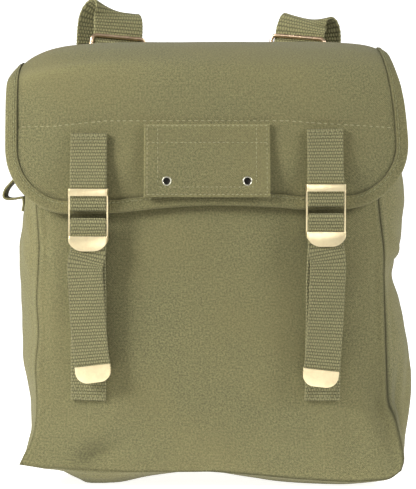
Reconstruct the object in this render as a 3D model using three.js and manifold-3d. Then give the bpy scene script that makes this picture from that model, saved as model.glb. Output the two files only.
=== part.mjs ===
// Canvas haversack with a buckled flap, standing on its own base.
// Millimetres, +Z up, the front faces -Y and +X is the viewer's right.
// The origin is on the floor under the middle of the bag.

import * as THREE from "three";
import { mergeVertices } from "three/addons/utils/BufferGeometryUtils.js";
import Module from "manifold-3d";

const wasm = await Module();
wasm.setup();

// Bag body
const BODY_WIDTH = 236; // between the side seams
const BODY_HEIGHT = 280.5; // floor to the edge of the mouth
const BODY_DEPTH = 92; // front seam to back seam
const FRONT_CROWN = 14; // how far the front panel swells
const BACK_CROWN = 5;
const CANVAS = 1.5; // wall of every cloth piece
const GAP = 0.3; // clearance between pieces that touch

// Flap
const FLAP_WIDTH = 277; // cloth alone, without its binding
const FLAP_CORNER = 45; // radius of the two lower corners
const BINDING = 0.9; // one side of the folded tape
const BINDING_BAND = 8; // how far the tape reaches in from the edge
const BINDING_GAP = 0.45; // between the tape and the curved cloth inside it

// Equipment tab on the flap
const TAB_WIDTH = 86;
const TAB_HEIGHT = 49.5;
const TAB_CLOTH = 2; // doubled and hemmed canvas
const TAB_OVER_BINDING = 3.5; // how far the tab's lower edge covers the tape
const EYELET_SPAN = 55;
const EYELET_ABOVE_EDGE = 11; // over the tab's own lower edge
const EYELET_RADIUS = 3.4;
const EYELET_HOLE = 2.3;

// Closing straps, their tabs and buckles
const STRAP_OUT = 80.5; // strap's middle to the middle of the bag
const WEB_WIDTH = 24.6;
const WEB = 1.6; // thickness of the narrow webbing
const CHAPE_LENGTH = 52; // buckle tab from its bar to its sewn end
const LEG_FOOT = 62.5; // lower end of the sewn leg over the floor
const FREE_LEFT = 84; // hanging end below the buckle, without its tip
const FREE_RIGHT = 90;
const BUCKLE_HEIGHT = 42.5;
const BUCKLE_METAL = 1;
const BUCKLE_CORNER = 10.5; // radius of the lower corners
const BUCKLE_BELOW_EDGE = 5; // buckle's middle under the flap's edge
const TOP_PLATE = 4.8; // height of the upper plate
const END_PLATE = 10.1; // height of the lower plate
const BAR_RADIUS = 1.2;
const RAIL_BACK = 1.8; // front of the rails behind the plates' front, between the plates
const UPPER_BAR = 8.8; // bar of the tab over the buckle's middle
const LOWER_BAR = -1.8; // bar of the strap
const TIP_LENGTH = 12;
const TIP_METAL = 0.5;
const TIP_CORNER = 8;

// Shoulder straps and their sliders
const SHOULDER_OUT = 65.2;
const SHOULDER_WIDTH = 37;
const SHOULDER_WEB = 2;
const SHOULDER_BELOW_MOUTH = 48; // upper sewn end under the edge of the mouth
const SHOULDER_FOOT = 38; // sewn end at the bottom of the back
const SLIDER_OVER_MOUTH = 21.3; // slider's middle over the edge of the mouth
const SLIDER_BACK = 15; // slider's middle behind the back seam
const SLIDER_PITCH = 13; // from one bar to the next
const WIRE = 1.4; // radius of the slider's wire
const BIGHT_LEFT = 33; // top of the strap over the slider's middle
const BIGHT_RIGHT = 27;
const BIGHT_SWAY = 8; // how far the strap moves out as it comes over the bight

// Side loop
const LOOP_UP = 209; // loop's middle over the floor
const LOOP_REACH = 15; // how far it stands out from the gusset
const LOOP_HEIGHT = 24;
const LOOP_WIDTH = 18;
const LOOP_SHARE = 0.62; // its place between the front seam and the back seam

// Side seams from the lower corner to the mouth. The seams lie at shares of half the body's
// width, and the gusset swells out past them by shares of its depth.
const SIDE_ROWS = [
  { up: 0, frontLeft: 1.106, frontRight: 1.144, back: 0.935, swellLeft: 0.03, swellRight: 0.055 },
  { up: 0.025, frontLeft: 1.076, frontRight: 1.158, back: 0.965, swellLeft: 0.04, swellRight: 0.072 },
  { up: 0.05, frontLeft: 1.044, frontRight: 1.153, back: 0.978, swellLeft: 0.06, swellRight: 0.092 },
  { up: 0.09, frontLeft: 1.016, frontRight: 1.132, back: 0.985, swellLeft: 0.065, swellRight: 0.135 },
  { up: 0.14, frontLeft: 1.002, frontRight: 1.103, back: 0.985, swellLeft: 0.072, swellRight: 0.187 },
  { up: 0.17, frontLeft: 1.001, frontRight: 1.071, back: 0.985, swellLeft: 0.076, swellRight: 0.228 },
  { up: 0.2, frontLeft: 1.003, frontRight: 1.061, back: 0.985, swellLeft: 0.09, swellRight: 0.24 },
  { up: 0.26, frontLeft: 1.007, frontRight: 1.055, back: 0.985, swellLeft: 0.12, swellRight: 0.239 },
  { up: 0.35, frontLeft: 0.99, frontRight: 1.048, back: 0.985, swellLeft: 0.152, swellRight: 0.216 },
  { up: 0.43, frontLeft: 0.999, frontRight: 1.042, back: 0.985, swellLeft: 0.152, swellRight: 0.168 },
  { up: 0.5, frontLeft: 0.992, frontRight: 1.038, back: 0.985, swellLeft: 0.168, swellRight: 0.108 },
  { up: 0.57, frontLeft: 0.984, frontRight: 1.036, back: 0.985, swellLeft: 0.183, swellRight: 0.174 },
  { up: 0.64, frontLeft: 0.993, frontRight: 1.017, back: 0.985, swellLeft: 0.152, swellRight: 0.214 },
  { up: 0.7, frontLeft: 1, frontRight: 1.003, back: 0.985, swellLeft: 0.12, swellRight: 0.235 },
  { up: 0.85, frontLeft: 0.996, frontRight: 0.996, back: 0.985, swellLeft: 0.098, swellRight: 0.16 },
  { up: 1, frontLeft: 0.987, frontRight: 0.987, back: 0.985, swellLeft: 0.076, swellRight: 0.1 },
];

// Bottom seams from the left corner to the right one. Heights are shares of the body's height,
// and the gusset drops below them by shares of its depth, down to the floor.
const BOTTOM_ROWS = [
  { across: 0, front: 0.0578, back: 0.0477, drop: 0.03 },
  { across: 0.05, front: 0.0509, back: 0.0325, drop: 0.035 },
  { across: 0.1, front: 0.0488, back: 0.0275, drop: 0.05 },
  { across: 0.13, front: 0.0466, back: 0.0265, drop: 0.1 },
  { across: 0.17, front: 0.0445, back: 0.0265, drop: 0.15 },
  { across: 0.23, front: 0.0420, back: 0.0265, drop: 0.14 },
  { across: 0.28, front: 0.0402, back: 0.0265, drop: 0.105 },
  { across: 0.36, front: 0.0398, back: 0.0285, drop: 0.055 },
  { across: 0.45, front: 0.0402, back: 0.0305, drop: 0.033 },
  { across: 0.5, front: 0.0405, back: 0.0305, drop: 0.025 },
  { across: 0.56, front: 0.0362, back: 0.0295, drop: 0.04 },
  { across: 0.62, front: 0.0319, back: 0.0285, drop: 0.06 },
  { across: 0.7, front: 0.0247, back: 0.0265, drop: 0.08 },
  { across: 0.78, front: 0.0193, back: 0.0265, drop: 0.085 },
  { across: 0.86, front: 0.0153, back: 0.0265, drop: 0.08 },
  { across: 0.92, front: 0.0175, back: 0.0275, drop: 0.07 },
  { across: 0.97, front: 0.0235, back: 0.0345, drop: 0.06 },
  { across: 1, front: 0.0430, back: 0.0477, drop: 0.055 },
];

// Swell of the panels from the bottom seam to the mouth, as shares of each panel's crown.
const CROWN_ROWS = [
  { up: 0, front: 0, back: 0 },
  { up: 0.08, front: 0.42, back: 0.4 },
  { up: 0.2, front: 0.8, back: 0.75 },
  { up: 0.4, front: 1, back: 1 },
  { up: 0.68, front: 1, back: 1 },
  { up: 0.85, front: 0.84, back: 1 },
  { up: 1, front: 0.5, back: 1 },
];

// Dents of the front panel: middle and half size as shares of the panel, depth as a share
// of its crown.
const DENT_ROWS = [
  { across: 0.165, up: 0.035, wide: 0.035, high: 0.035, deep: 0.24 },
  { across: 0.975, up: 0.17, wide: 0.035, high: 0.09, deep: 0.2 },
];

// The flap's underside along its middle, from the sewn edge behind, over the mouth and down
// the front: distance behind the middle as a share of the depth, height as a share of the
// body's height. The sides droop by a share of the depth, later on the way out where sharp is more,
// and the right side comes in by a share of the depth.
const FLAP_ROWS = [
  { back: 0.5635, up: 0.905, droopLeft: 0.1, sharpLeft: 4, droopRight: 0.1, sharpRight: 4, narrow: 0.03 },
  { back: 0.5635, up: 0.955, droopLeft: 0.1, sharpLeft: 4, droopRight: 0.1, sharpRight: 4, narrow: 0.05 },
  { back: 0.559, up: 1.005, droopLeft: 0.105, sharpLeft: 4.4, droopRight: 0.1, sharpRight: 5, narrow: 0.08 },
  { back: 0.515, up: 1.052, droopLeft: 0.17, sharpLeft: 5.4, droopRight: 0.11, sharpRight: 7, narrow: 0.11 },
  { back: 0.4, up: 1.084, droopLeft: 0.215, sharpLeft: 6, droopRight: 0.1, sharpRight: 9, narrow: 0.13 },
  { back: 0.18, up: 1.0975, droopLeft: 0.23, sharpLeft: 6, droopRight: 0.09, sharpRight: 10, narrow: 0.135 },
  { back: -0.09, up: 1.0935, droopLeft: 0.225, sharpLeft: 6, droopRight: 0.09, sharpRight: 10, narrow: 0.13 },
  { back: -0.34, up: 1.0735, droopLeft: 0.2, sharpLeft: 5.6, droopRight: 0.1, sharpRight: 9, narrow: 0.11 },
  { back: -0.54, up: 1.034, droopLeft: 0.165, sharpLeft: 5, droopRight: 0.11, sharpRight: 7, narrow: 0.08 },
  { back: -0.63, up: 0.975, droopLeft: 0.15, sharpLeft: 4.4, droopRight: 0.12, sharpRight: 5, narrow: 0.045 },
  { back: -0.662, up: 0.89, droopLeft: 0.142, sharpLeft: 4, droopRight: 0.13, sharpRight: 4, narrow: 0.015 },
  { back: -0.679, up: 0.8, droopLeft: 0.14, sharpLeft: 4, droopRight: 0.14, sharpRight: 4, narrow: 0 },
  { back: -0.682, up: 0.7, droopLeft: 0.14, sharpLeft: 4, droopRight: 0.14, sharpRight: 4, narrow: 0 },
  { back: -0.68, up: 0.6, droopLeft: 0.14, sharpLeft: 4, droopRight: 0.14, sharpRight: 4, narrow: 0 },
];

// Lower edge of the flap's cloth: place as a share of half its width, height as a share of
// the body's height.
const EDGE_ROWS = [
  { across: -1, up: 0.6830 },
  { across: -0.68, up: 0.6845 },
  { across: -0.45, up: 0.6880 },
  { across: -0.24, up: 0.6990 },
  { across: -0.03, up: 0.7060 },
  { across: 0.17, up: 0.7055 },
  { across: 0.38, up: 0.7005 },
  { across: 0.47, up: 0.6960 },
  { across: 0.7, up: 0.6975 },
  { across: 1, up: 0.6980 },
];

// Hanging end of a closing strap below the buckle: distance down as a share of its length,
// distance from the front panel as a share of the buckle's, and drift toward the middle as a
// share of the webbing's width.
const FREE_ROWS = [
  { down: 0.12, off: 0.93, drift: 0.005 },
  { down: 0.32, off: 0.84, drift: 0.02 },
  { down: 0.55, off: 0.77, drift: 0.05 },
  { down: 0.78, off: 0.71, drift: 0.1 },
  { down: 0.92, off: 0.69, drift: 0.145 },
  { down: 1, off: 0.68, drift: 0.18 },
];

// Shoulder strap behind the slider, from the bight down to its lower sewn end: height between
// that end and the slider, distance out as a share of the strap's place, distance behind the
// back seam as a share of the depth, and how much of the bight's turn is left.
const HANG_ROWS = [
  { up: 0.93, out: 1.2, back: 0.265, turn: 0.7 },
  { up: 0.82, out: 1.26, back: 0.215, turn: 0.4 },
  { up: 0.7, out: 1.31, back: 0.16, turn: 0.1 },
  { up: 0.52, out: 1.35, back: 0.115, turn: 0 },
  { up: 0.34, out: 1.37, back: 0.095, turn: 0 },
  { up: 0.2, out: 1.38, back: 0.08, turn: 0 },
];

// Side loop from its upper sewn end to its lower one: distance out as a share of its reach,
// height from its middle as a share of its height.
const LOOP_ROWS = [
  { out: 0, up: 0.95 },
  { out: 0, up: 0.68 },
  { out: 0.12, up: 0.45 },
  { out: 0.55, up: 0.12 },
  { out: 0.95, up: -0.22 },
  { out: 0.98, up: -0.42 },
  { out: 0.8, up: -0.52 },
  { out: 0.4, up: -0.44 },
  { out: 0.1, up: -0.4 },
  { out: 0, up: -0.56 },
  { out: 0, up: -0.8 },
];

const halfBody = BODY_WIDTH / 2;
const halfFlap = FLAP_WIDTH / 2;
const canvasMaterial = { color: 0x8c8862, roughness: 0.95, metalness: 0 };
const tapeMaterial = { color: 0x86835c, roughness: 0.93, metalness: 0 };
const webMaterial = { color: 0x827e58, roughness: 0.92, metalness: 0 };
const brassMaterial = { color: 0xe0c48c, roughness: 0.28, metalness: 1 };
const wireMaterial = { color: 0xb08a5a, roughness: 0.35, metalness: 1 };
const eyeletMaterial = { color: 0xd8d8cc, roughness: 0.3, metalness: 1 };

const bag = new THREE.Group();

function addMesh(name, geometry, material) {
  const mesh = new THREE.Mesh(geometry, new THREE.MeshStandardMaterial(material));
  mesh.name = name;
  bag.add(mesh);
  return mesh;
}

// Tables

// Smooth value of one column of a table at a place between its rows
function column(rows, key, name, at) {
  const last = rows.length - 1;
  let i = 0;
  while (i < last - 1 && rows[i + 1][key] < at) i += 1;
  const slope = (k) => {
    const before = rows[Math.max(k - 1, 0)];
    const after = rows[Math.min(k + 1, last)];
    return (after[name] - before[name]) / (after[key] - before[key]);
  };
  const span = rows[i + 1][key] - rows[i][key];
  const t = THREE.MathUtils.clamp((at - rows[i][key]) / span, 0, 1);
  const ease = t * t * (3 - 2 * t);
  const bend = span * (slope(i) * t * (1 - t) ** 2 - slope(i + 1) * t * t * (1 - t));
  return rows[i][name] * (1 - ease) + rows[i + 1][name] * ease + bend;
}

// Closed solids

// Turn the faces outward if the solid came out inside out
function outward(geometry) {
  const p = geometry.getAttribute("position");
  const index = geometry.getIndex();
  const corner = [new THREE.Vector3(), new THREE.Vector3(), new THREE.Vector3()];
  let volume = 0;
  for (let i = 0; i < index.count; i += 3) {
    corner.forEach((c, k) => c.fromBufferAttribute(p, index.getX(i + k)));
    volume += corner[0].dot(corner[1].clone().cross(corner[2]));
  }
  if (volume < 0) index.array.reverse();
  geometry.computeVertexNormals();
  return geometry;
}

function meshOf(points, index) {
  const geometry = new THREE.BufferGeometry();
  geometry.setAttribute("position", new THREE.Float32BufferAttribute(points.flatMap((p) => p.toArray()), 3));
  geometry.setIndex(index);
  return outward(geometry);
}

// Two triangles for four points, split along the shorter diagonal
function pushQuad(index, points, a, b, c, d) {
  const first = points[a].distanceTo(points[c]);
  const second = points[b].distanceTo(points[d]);
  if (first <= second) index.push(a, b, c, a, c, d);
  else index.push(a, b, d, b, c, d);
}

// A wall between two grids of points, closed round its border
function wall(outer, inner) {
  const points = [...outer.flat(), ...inner.flat()];
  const rows = outer.length;
  const cols = outer[0].length;
  const count = rows * cols;
  const at = (r, c) => r * cols + c;
  const index = [];
  const quad = (a, b, c, d) => pushQuad(index, points, a, b, c, d);
  for (let r = 0; r < rows - 1; r += 1) {
    for (let c = 0; c < cols - 1; c += 1) {
      quad(at(r, c), at(r, c + 1), at(r + 1, c + 1), at(r + 1, c));
      quad(count + at(r, c), count + at(r + 1, c), count + at(r + 1, c + 1), count + at(r, c + 1));
    }
  }
  const border = [];
  for (let c = 0; c < cols - 1; c += 1) border.push(at(0, c));
  for (let r = 0; r < rows - 1; r += 1) border.push(at(r, cols - 1));
  for (let c = cols - 1; c > 0; c -= 1) border.push(at(rows - 1, c));
  for (let r = rows - 1; r > 0; r -= 1) border.push(at(r, 0));
  border.forEach((p, i) => {
    const q = border[(i + 1) % border.length];
    quad(q, p, count + p, count + q);
  });
  return meshOf(points, index);
}

// The same grid moved inward along its own normals
function inset(grid, distance) {
  const rows = grid.length - 1;
  const cols = grid[0].length - 1;
  return grid.map((row, r) =>
    row.map((point, c) => {
      const along = grid[Math.min(r + 1, rows)][c].clone().sub(grid[Math.max(r - 1, 0)][c]);
      const across = row[Math.min(c + 1, cols)].clone().sub(row[Math.max(c - 1, 0)]);
      return point.clone().addScaledVector(along.cross(across).normalize(), distance);
    }),
  );
}

// A section carried through rings of points, with flat ends or closed on itself
function sweep(section, rings, loop = false) {
  const n = section.length;
  const points = rings.flat();
  const index = [];
  const steps = loop ? rings.length : rings.length - 1;
  for (let r = 0; r < steps; r += 1) {
    const next = (r + 1) % rings.length;
    for (let k = 0; k < n; k += 1) {
      const m = (k + 1) % n;
      pushQuad(index, points, r * n + k, next * n + k, next * n + m, r * n + m);
    }
  }
  if (!loop) {
    const last = (rings.length - 1) * n;
    for (const [a, b, c] of THREE.ShapeUtils.triangulateShape(section, [])) {
      index.push(a, b, c, last + a, last + c, last + b);
    }
  }
  return meshOf(points, index);
}

// Finer points along a route that passes through every given point
function route(points, steps) {
  const curve = new THREE.CatmullRomCurve3(points.map((p) => p.at), false, "centripetal");
  const spans = points.length - 1;
  const fine = [];
  for (let i = 0; i <= spans * steps; i += 1) {
    const place = i / steps;
    const k = Math.min(Math.floor(place), spans - 1);
    fine.push({
      at: curve.getPoint(place / spans),
      along: curve.getTangent(place / spans),
      across: points[k].across.clone().lerp(points[k + 1].across, place - k).normalize(),
    });
  }
  return fine;
}

// Webbing along a route, flat in the direction called across
function ribbon(points, width, thickness, steps = 2) {
  const section = [
    new THREE.Vector2(-width / 2, -thickness / 2),
    new THREE.Vector2(width / 2, -thickness / 2),
    new THREE.Vector2(width / 2, thickness / 2),
    new THREE.Vector2(-width / 2, thickness / 2),
  ];
  const rings = route(points, steps).map(({ at, along, across }) => {
    const out = along.clone().cross(across).normalize();
    const flat = out.clone().cross(along).normalize();
    return section.map((s) => at.clone().addScaledVector(flat, s.x).addScaledVector(out, s.y));
  });
  return sweep(section, rings);
}

// Cuts and joins

function solidOf(geometry) {
  const bare = geometry.clone();
  bare.deleteAttribute("normal");
  bare.deleteAttribute("uv");
  const merged = mergeVertices(bare, 1e-4);
  return new wasm.Manifold(
    new wasm.Mesh({
      numProp: 3,
      vertProperties: new Float32Array(merged.getAttribute("position").array),
      triVerts: new Uint32Array(merged.getIndex().array),
    }),
  );
}

function geometryOf(solid) {
  const { vertProperties, triVerts, numProp } = solid.getMesh();
  const geometry = new THREE.BufferGeometry();
  const position = [];
  for (let i = 0; i < vertProperties.length; i += numProp) {
    position.push(vertProperties[i], vertProperties[i + 1], vertProperties[i + 2]);
  }
  geometry.setAttribute("position", new THREE.Float32BufferAttribute(position, 3));
  geometry.setIndex(Array.from(triVerts));
  geometry.computeVertexNormals();
  return geometry;
}

// Seams of the bag, in the plane of each panel

// Seam of one side, up from 0 at the lower corner to 1 at the mouth
function sideSeam(panel, side, up) {
  const name = panel === "back" ? "back" : side < 0 ? "frontLeft" : "frontRight";
  const corner = BODY_HEIGHT * column(BOTTOM_ROWS, "across", panel, side < 0 ? 0 : 1);
  return new THREE.Vector3(
    side * halfBody * column(SIDE_ROWS, "up", name, up),
    (panel === "back" ? 0.5 : -0.5) * BODY_DEPTH,
    corner + up * (BODY_HEIGHT - corner),
  );
}

// Seam of the bottom, across from 0 at the left corner to 1 at the right one
function bottomSeam(panel, across) {
  const point = sideSeam(panel, -1, 0).lerp(sideSeam(panel, 1, 0), across);
  point.z = BODY_HEIGHT * column(BOTTOM_ROWS, "across", panel, across);
  return point;
}

// Stations down the left side, along the bottom and up the right side
const SIDE_STEPS = 16;
const BOTTOM_STEPS = 16;
const DEPTH_STEPS = 6;
const upStations = Array.from({ length: SIDE_STEPS + 1 }, (_, i) => (i / SIDE_STEPS) ** 1.3);
const acrossStations = Array.from({ length: BOTTOM_STEPS + 1 }, (_, i) => i / BOTTOM_STEPS);
const stations = [
  ...upStations.toReversed().map((up) => ({ side: -1, up })),
  ...acrossStations.slice(1, -1).map((across) => ({ across })),
  ...upStations.map((up) => ({ side: 1, up })),
];

function seamAt(panel, station) {
  if (station.side) return sideSeam(panel, station.side, station.up);
  return bottomSeam(panel, station.across);
}

// How far the gusset stands out at a station
function swellAt(station) {
  if (station.side < 0) return BODY_DEPTH * column(SIDE_ROWS, "up", "swellLeft", station.up);
  if (station.side > 0) return BODY_DEPTH * column(SIDE_ROWS, "up", "swellRight", station.up);
  return BODY_DEPTH * column(BOTTOM_ROWS, "across", "drop", station.across);
}

// Directions out of the bag in the plane of a seam, one for each station
function outDirections(seam) {
  return seam.map((_, i) => {
    const run = seam[Math.min(i + 1, seam.length - 1)].clone().sub(seam[Math.max(i - 1, 0)]);
    return new THREE.Vector3(run.z, 0, -run.x).normalize();
  });
}

const frontSeam = stations.map((s) => seamAt("front", s));
const backSeam = stations.map((s) => seamAt("back", s));
const frontOut = outDirections(frontSeam);
const backOut = outDirections(backSeam);

// A seam line moved out of the bag in its plane, and toward the back
function shifted(seam, out, outBy, backBy) {
  return seam.map((p, i) => p.clone().addScaledVector(out[i], outBy).add(new THREE.Vector3(0, backBy, 0)));
}

// Panels

// A panel's surface: its four border curves blended, plus its crown and dents
function panelPoint(panel, across, up) {
  const left = sideSeam(panel, -1, up);
  const right = sideSeam(panel, 1, up);
  const low = bottomSeam(panel, across);
  const high = sideSeam(panel, -1, 1).lerp(sideSeam(panel, 1, 1), across);
  const lowChord = sideSeam(panel, -1, 0).lerp(sideSeam(panel, 1, 0), across);
  const highChord = high.clone();
  const point = left.lerp(right, across);
  point.addScaledVector(low.sub(lowChord), 1 - up).addScaledVector(high.sub(highChord), up);
  const swell = column(CROWN_ROWS, "up", panel, up) * (1 - Math.abs(2 * across - 1) ** 4);
  if (panel === "back") {
    point.y += BACK_CROWN * swell;
    return point;
  }
  const dents = DENT_ROWS.map(
    (d) => d.deep * Math.exp(-(((across - d.across) / d.wide) ** 2) - ((up - d.up) / d.high) ** 2),
  );
  const dented = dents.reduce((sum, d) => sum + d, 0);
  point.y -= FRONT_CROWN * (swell - dented * Math.min(1, 30 * across * (1 - across) * up));
  return point;
}

// The point of a panel at a given place, moved out of the bag, with the panel's directions there
function onPanel(panel, x, z, off = 0) {
  let across = 0.5;
  let up = 0.5;
  for (let i = 0; i < 14; i += 1) {
    const p = panelPoint(panel, across, up);
    across += (x - p.x) / BODY_WIDTH;
    up += (z - p.z) / BODY_HEIGHT;
  }
  const at = panelPoint(panel, across, up);
  const step = 0.004;
  const flat = panelPoint(panel, across + step, up).sub(panelPoint(panel, across - step, up)).normalize();
  const rise = panelPoint(panel, across, up + step).sub(panelPoint(panel, across, up - step)).normalize();
  const out = flat.clone().cross(rise).normalize();
  if (panel === "back") out.negate();
  return { at: at.addScaledVector(out, off), across: flat, out };
}

function addPanel(panel, seam, out) {
  const backward = panel === "back" ? -1 : 1;
  const outer = upStations.map((up) => acrossStations.map((across) => panelPoint(panel, across, up)));
  const inner = inset(outer, backward * CANVAS);
  const outerEdge = shifted(seam, out, -GAP / 2, (-backward * GAP) / 2);
  const innerEdge = shifted(seam, out, -CANVAS - GAP / 2, backward * (CANVAS - GAP / 2));
  // The seam's stations run down the left side, along the bottom and up the right side
  const place = (grid, edge) => {
    edge.forEach((p, i) => {
      if (i <= SIDE_STEPS) grid[SIDE_STEPS - i][0].copy(p);
      else if (i < SIDE_STEPS + BOTTOM_STEPS) grid[0][i - SIDE_STEPS].copy(p);
      else grid[i - SIDE_STEPS - BOTTOM_STEPS][BOTTOM_STEPS].copy(p);
    });
  };
  place(outer, outerEdge);
  place(inner, innerEdge);
  addMesh(`${panel}_panel`, wall(outer, inner), canvasMaterial);
}
addPanel("front", frontSeam, frontOut);
addPanel("back", backSeam, backOut);

// Gusset

// The gusset's outer surface: straight from seam to seam, swollen out, and flat on the floor
function gussetPoint(i, share) {
  const point = frontSeam[i].clone().lerp(backSeam[i], share);
  const out = frontOut[i].clone().lerp(backOut[i], share).normalize();
  point.addScaledVector(out, swellAt(stations[i]) * (1 - Math.abs(2 * share - 1) ** 2.4));
  point.z = Math.max(point.z, 0);
  return point;
}

function addGusset() {
  const shares = Array.from({ length: DEPTH_STEPS + 1 }, (_, k) => k / DEPTH_STEPS);
  const outer = stations.map((_, i) => shares.map((share) => gussetPoint(i, share)));
  const inner = inset(outer, CANVAS);
  inner.flat().forEach((p) => {
    p.z = Math.max(p.z, CANVAS);
  });
  const frontOuter = shifted(frontSeam, frontOut, GAP / 2, GAP / 2);
  const frontInner = shifted(frontSeam, frontOut, GAP / 2 - CANVAS, GAP / 2 + CANVAS);
  const backOuter = shifted(backSeam, backOut, GAP / 2, -GAP / 2);
  const backInner = shifted(backSeam, backOut, GAP / 2 - CANVAS, -GAP / 2 - CANVAS);
  stations.forEach((_, i) => {
    outer[i][0].copy(frontOuter[i]);
    inner[i][0].copy(frontInner[i]);
    outer[i][DEPTH_STEPS].copy(backOuter[i]);
    inner[i][DEPTH_STEPS].copy(backInner[i]);
  });
  addMesh("gusset", wall(outer, inner), canvasMaterial);
}
addGusset();

// Flap

const flapProfile = new THREE.CatmullRomCurve3(
  FLAP_ROWS.map((r) => new THREE.Vector3(0, r.back * BODY_DEPTH, r.up * BODY_HEIGHT)),
  false,
  "centripetal",
);
flapProfile.arcLengthDivisions = 600;
const profileLength = flapProfile.getLength();
const flapShape = FLAP_ROWS.map((row, place) => ({ ...row, place }));

// The flap's underside: across its width, and along from the sewn edge behind to the front.
// The sides droop by droop * |across / half width| ^ sharp and come in to keep the cloth's width. The
// right one comes in further by narrow * (across / half width) ^ 2.
function flapBase(across, along) {
  const share = THREE.MathUtils.clamp(along / profileLength, 0, 1);
  const middle = flapProfile.getPointAt(share);
  const run = flapProfile.getTangentAt(share);
  middle.addScaledVector(run, along - share * profileLength);
  const place = flapProfile.getUtoTmapping(share) * (FLAP_ROWS.length - 1);
  const end = across < 0 ? "Left" : "Right";
  const droop = BODY_DEPTH * column(flapShape, "place", `droop${end}`, place);
  const sharp = column(flapShape, "place", `sharp${end}`, place);
  const narrow = across < 0 ? 0 : BODY_DEPTH * column(flapShape, "place", "narrow", place);
  const u = Math.abs(across) / halfFlap;
  const pull = ((droop * sharp) ** 2 * u ** (2 * sharp - 1)) / (2 * (2 * sharp - 1) * halfFlap) + narrow * u * u;
  const down = droop * u ** sharp;
  return new THREE.Vector3(across - Math.sign(across) * pull, middle.y - run.z * down, middle.z + run.y * down);
}

// A point over the flap's underside, with the flap's directions there
function onFlap(across, along, off = 0) {
  const step = 0.5;
  const at = flapBase(across, along);
  const flat = flapBase(across + step, along).sub(flapBase(across - step, along)).normalize();
  const run = flapBase(across, along + step).sub(flapBase(across, along - step)).normalize();
  const out = run.clone().cross(flat).normalize();
  return { at: at.addScaledVector(out, off), across: flat, run, out };
}

// Distance along the flap at which the front of its middle is at a given height
function alongAtHeight(z) {
  let low = profileLength / 2;
  let high = profileLength;
  for (let i = 0; i < 40; i += 1) {
    const middle = (low + high) / 2;
    if (flapBase(0, middle).z > z) low = middle;
    else high = middle;
  }
  return low;
}

// Distance along the flap at which the back of its middle is at a given height
function alongBack(z) {
  let low = 0;
  let high = profileLength / 4;
  for (let i = 0; i < 40; i += 1) {
    const middle = (low + high) / 2;
    if (flapBase(0, middle).z < z) low = middle;
    else high = middle;
  }
  return low;
}

// Distance along the flap to its lower edge
function edgeAlong(across) {
  const height = BODY_HEIGHT * column(EDGE_ROWS, "across", "up", across / halfFlap);
  const past = Math.max(0, Math.abs(across) - (halfFlap - FLAP_CORNER));
  return alongAtHeight(height) - (FLAP_CORNER - Math.sqrt(FLAP_CORNER ** 2 - past ** 2));
}

const CORNER_STEPS = 5;
const MIDDLE_STEPS = 6;
const FLAP_STEPS = 17;
const HEM_STEPS = 4;
const flapColumns = [];
for (let i = 0; i < CORNER_STEPS; i += 1) {
  const angle = ((i / CORNER_STEPS) * Math.PI) / 2;
  flapColumns.push(-(halfFlap - FLAP_CORNER) - FLAP_CORNER * Math.cos(angle));
}
for (let i = 0; i <= MIDDLE_STEPS; i += 1) {
  flapColumns.push((halfFlap - FLAP_CORNER) * ((2 * i) / MIDDLE_STEPS - 1));
}
flapColumns.push(...flapColumns.slice(0, CORNER_STEPS).map((a) => -a).toReversed());
const straightAlong = Math.min(edgeAlong(-halfFlap), edgeAlong(halfFlap)) - FLAP_CORNER / 4;

// Place along the flap of one row of its grid at one of its columns
function flapRow(row, across) {
  if (row <= FLAP_STEPS) return (row / FLAP_STEPS) * straightAlong;
  return THREE.MathUtils.lerp(straightAlong, edgeAlong(across), (row - FLAP_STEPS) / HEM_STEPS);
}
const flapRows = Array.from({ length: FLAP_STEPS + HEM_STEPS + 1 }, (_, row) => row);
const flapGrid = (off) => flapRows.map((row) => flapColumns.map((a) => onFlap(a, flapRow(row, a), off).at));
addMesh("flap", wall(flapGrid(CANVAS), flapGrid(0)), canvasMaterial);

// Binding round the flap's edge

function addBinding() {
  const last = FLAP_STEPS + HEM_STEPS;
  const leftEnd = flapColumns[0];
  const rightEnd = flapColumns.at(-1);
  const edge = [
    ...flapRows.slice(0, -1).map((row) => new THREE.Vector2(leftEnd, flapRow(row, leftEnd))),
    ...flapColumns.map((a) => new THREE.Vector2(a, flapRow(last, a))),
    ...flapRows.slice(0, -1).map((row) => new THREE.Vector2(rightEnd, flapRow(row, rightEnd))).toReversed(),
  ];
  const under = -BINDING_GAP;
  const over = CANVAS + BINDING_GAP;
  const half = BINDING_BAND / 2;
  const section = [
    new THREE.Vector2(half, over),
    new THREE.Vector2(BINDING_BAND, over),
    new THREE.Vector2(BINDING_BAND, over + BINDING),
    new THREE.Vector2(half, over + BINDING),
    new THREE.Vector2(-BINDING_GAP - BINDING, over + BINDING),
    new THREE.Vector2(-BINDING_GAP - BINDING, under - BINDING),
    new THREE.Vector2(half, under - BINDING),
    new THREE.Vector2(BINDING_BAND, under - BINDING),
    new THREE.Vector2(BINDING_BAND, under),
    new THREE.Vector2(half, under),
    new THREE.Vector2(-BINDING_GAP, under),
    new THREE.Vector2(-BINDING_GAP, over),
  ];
  const rings = edge.map((p, i) => {
    const run = edge[Math.min(i + 1, edge.length - 1)].clone().sub(edge[Math.max(i - 1, 0)]).normalize();
    const inward = new THREE.Vector2(run.y, -run.x);
    return section.map((s) => onFlap(p.x + inward.x * s.x, p.y + inward.y * s.x, s.y).at);
  });
  addMesh("flap_binding", sweep(section, rings), tapeMaterial);
}
addBinding();

// Equipment tab and its eyelets

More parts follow.
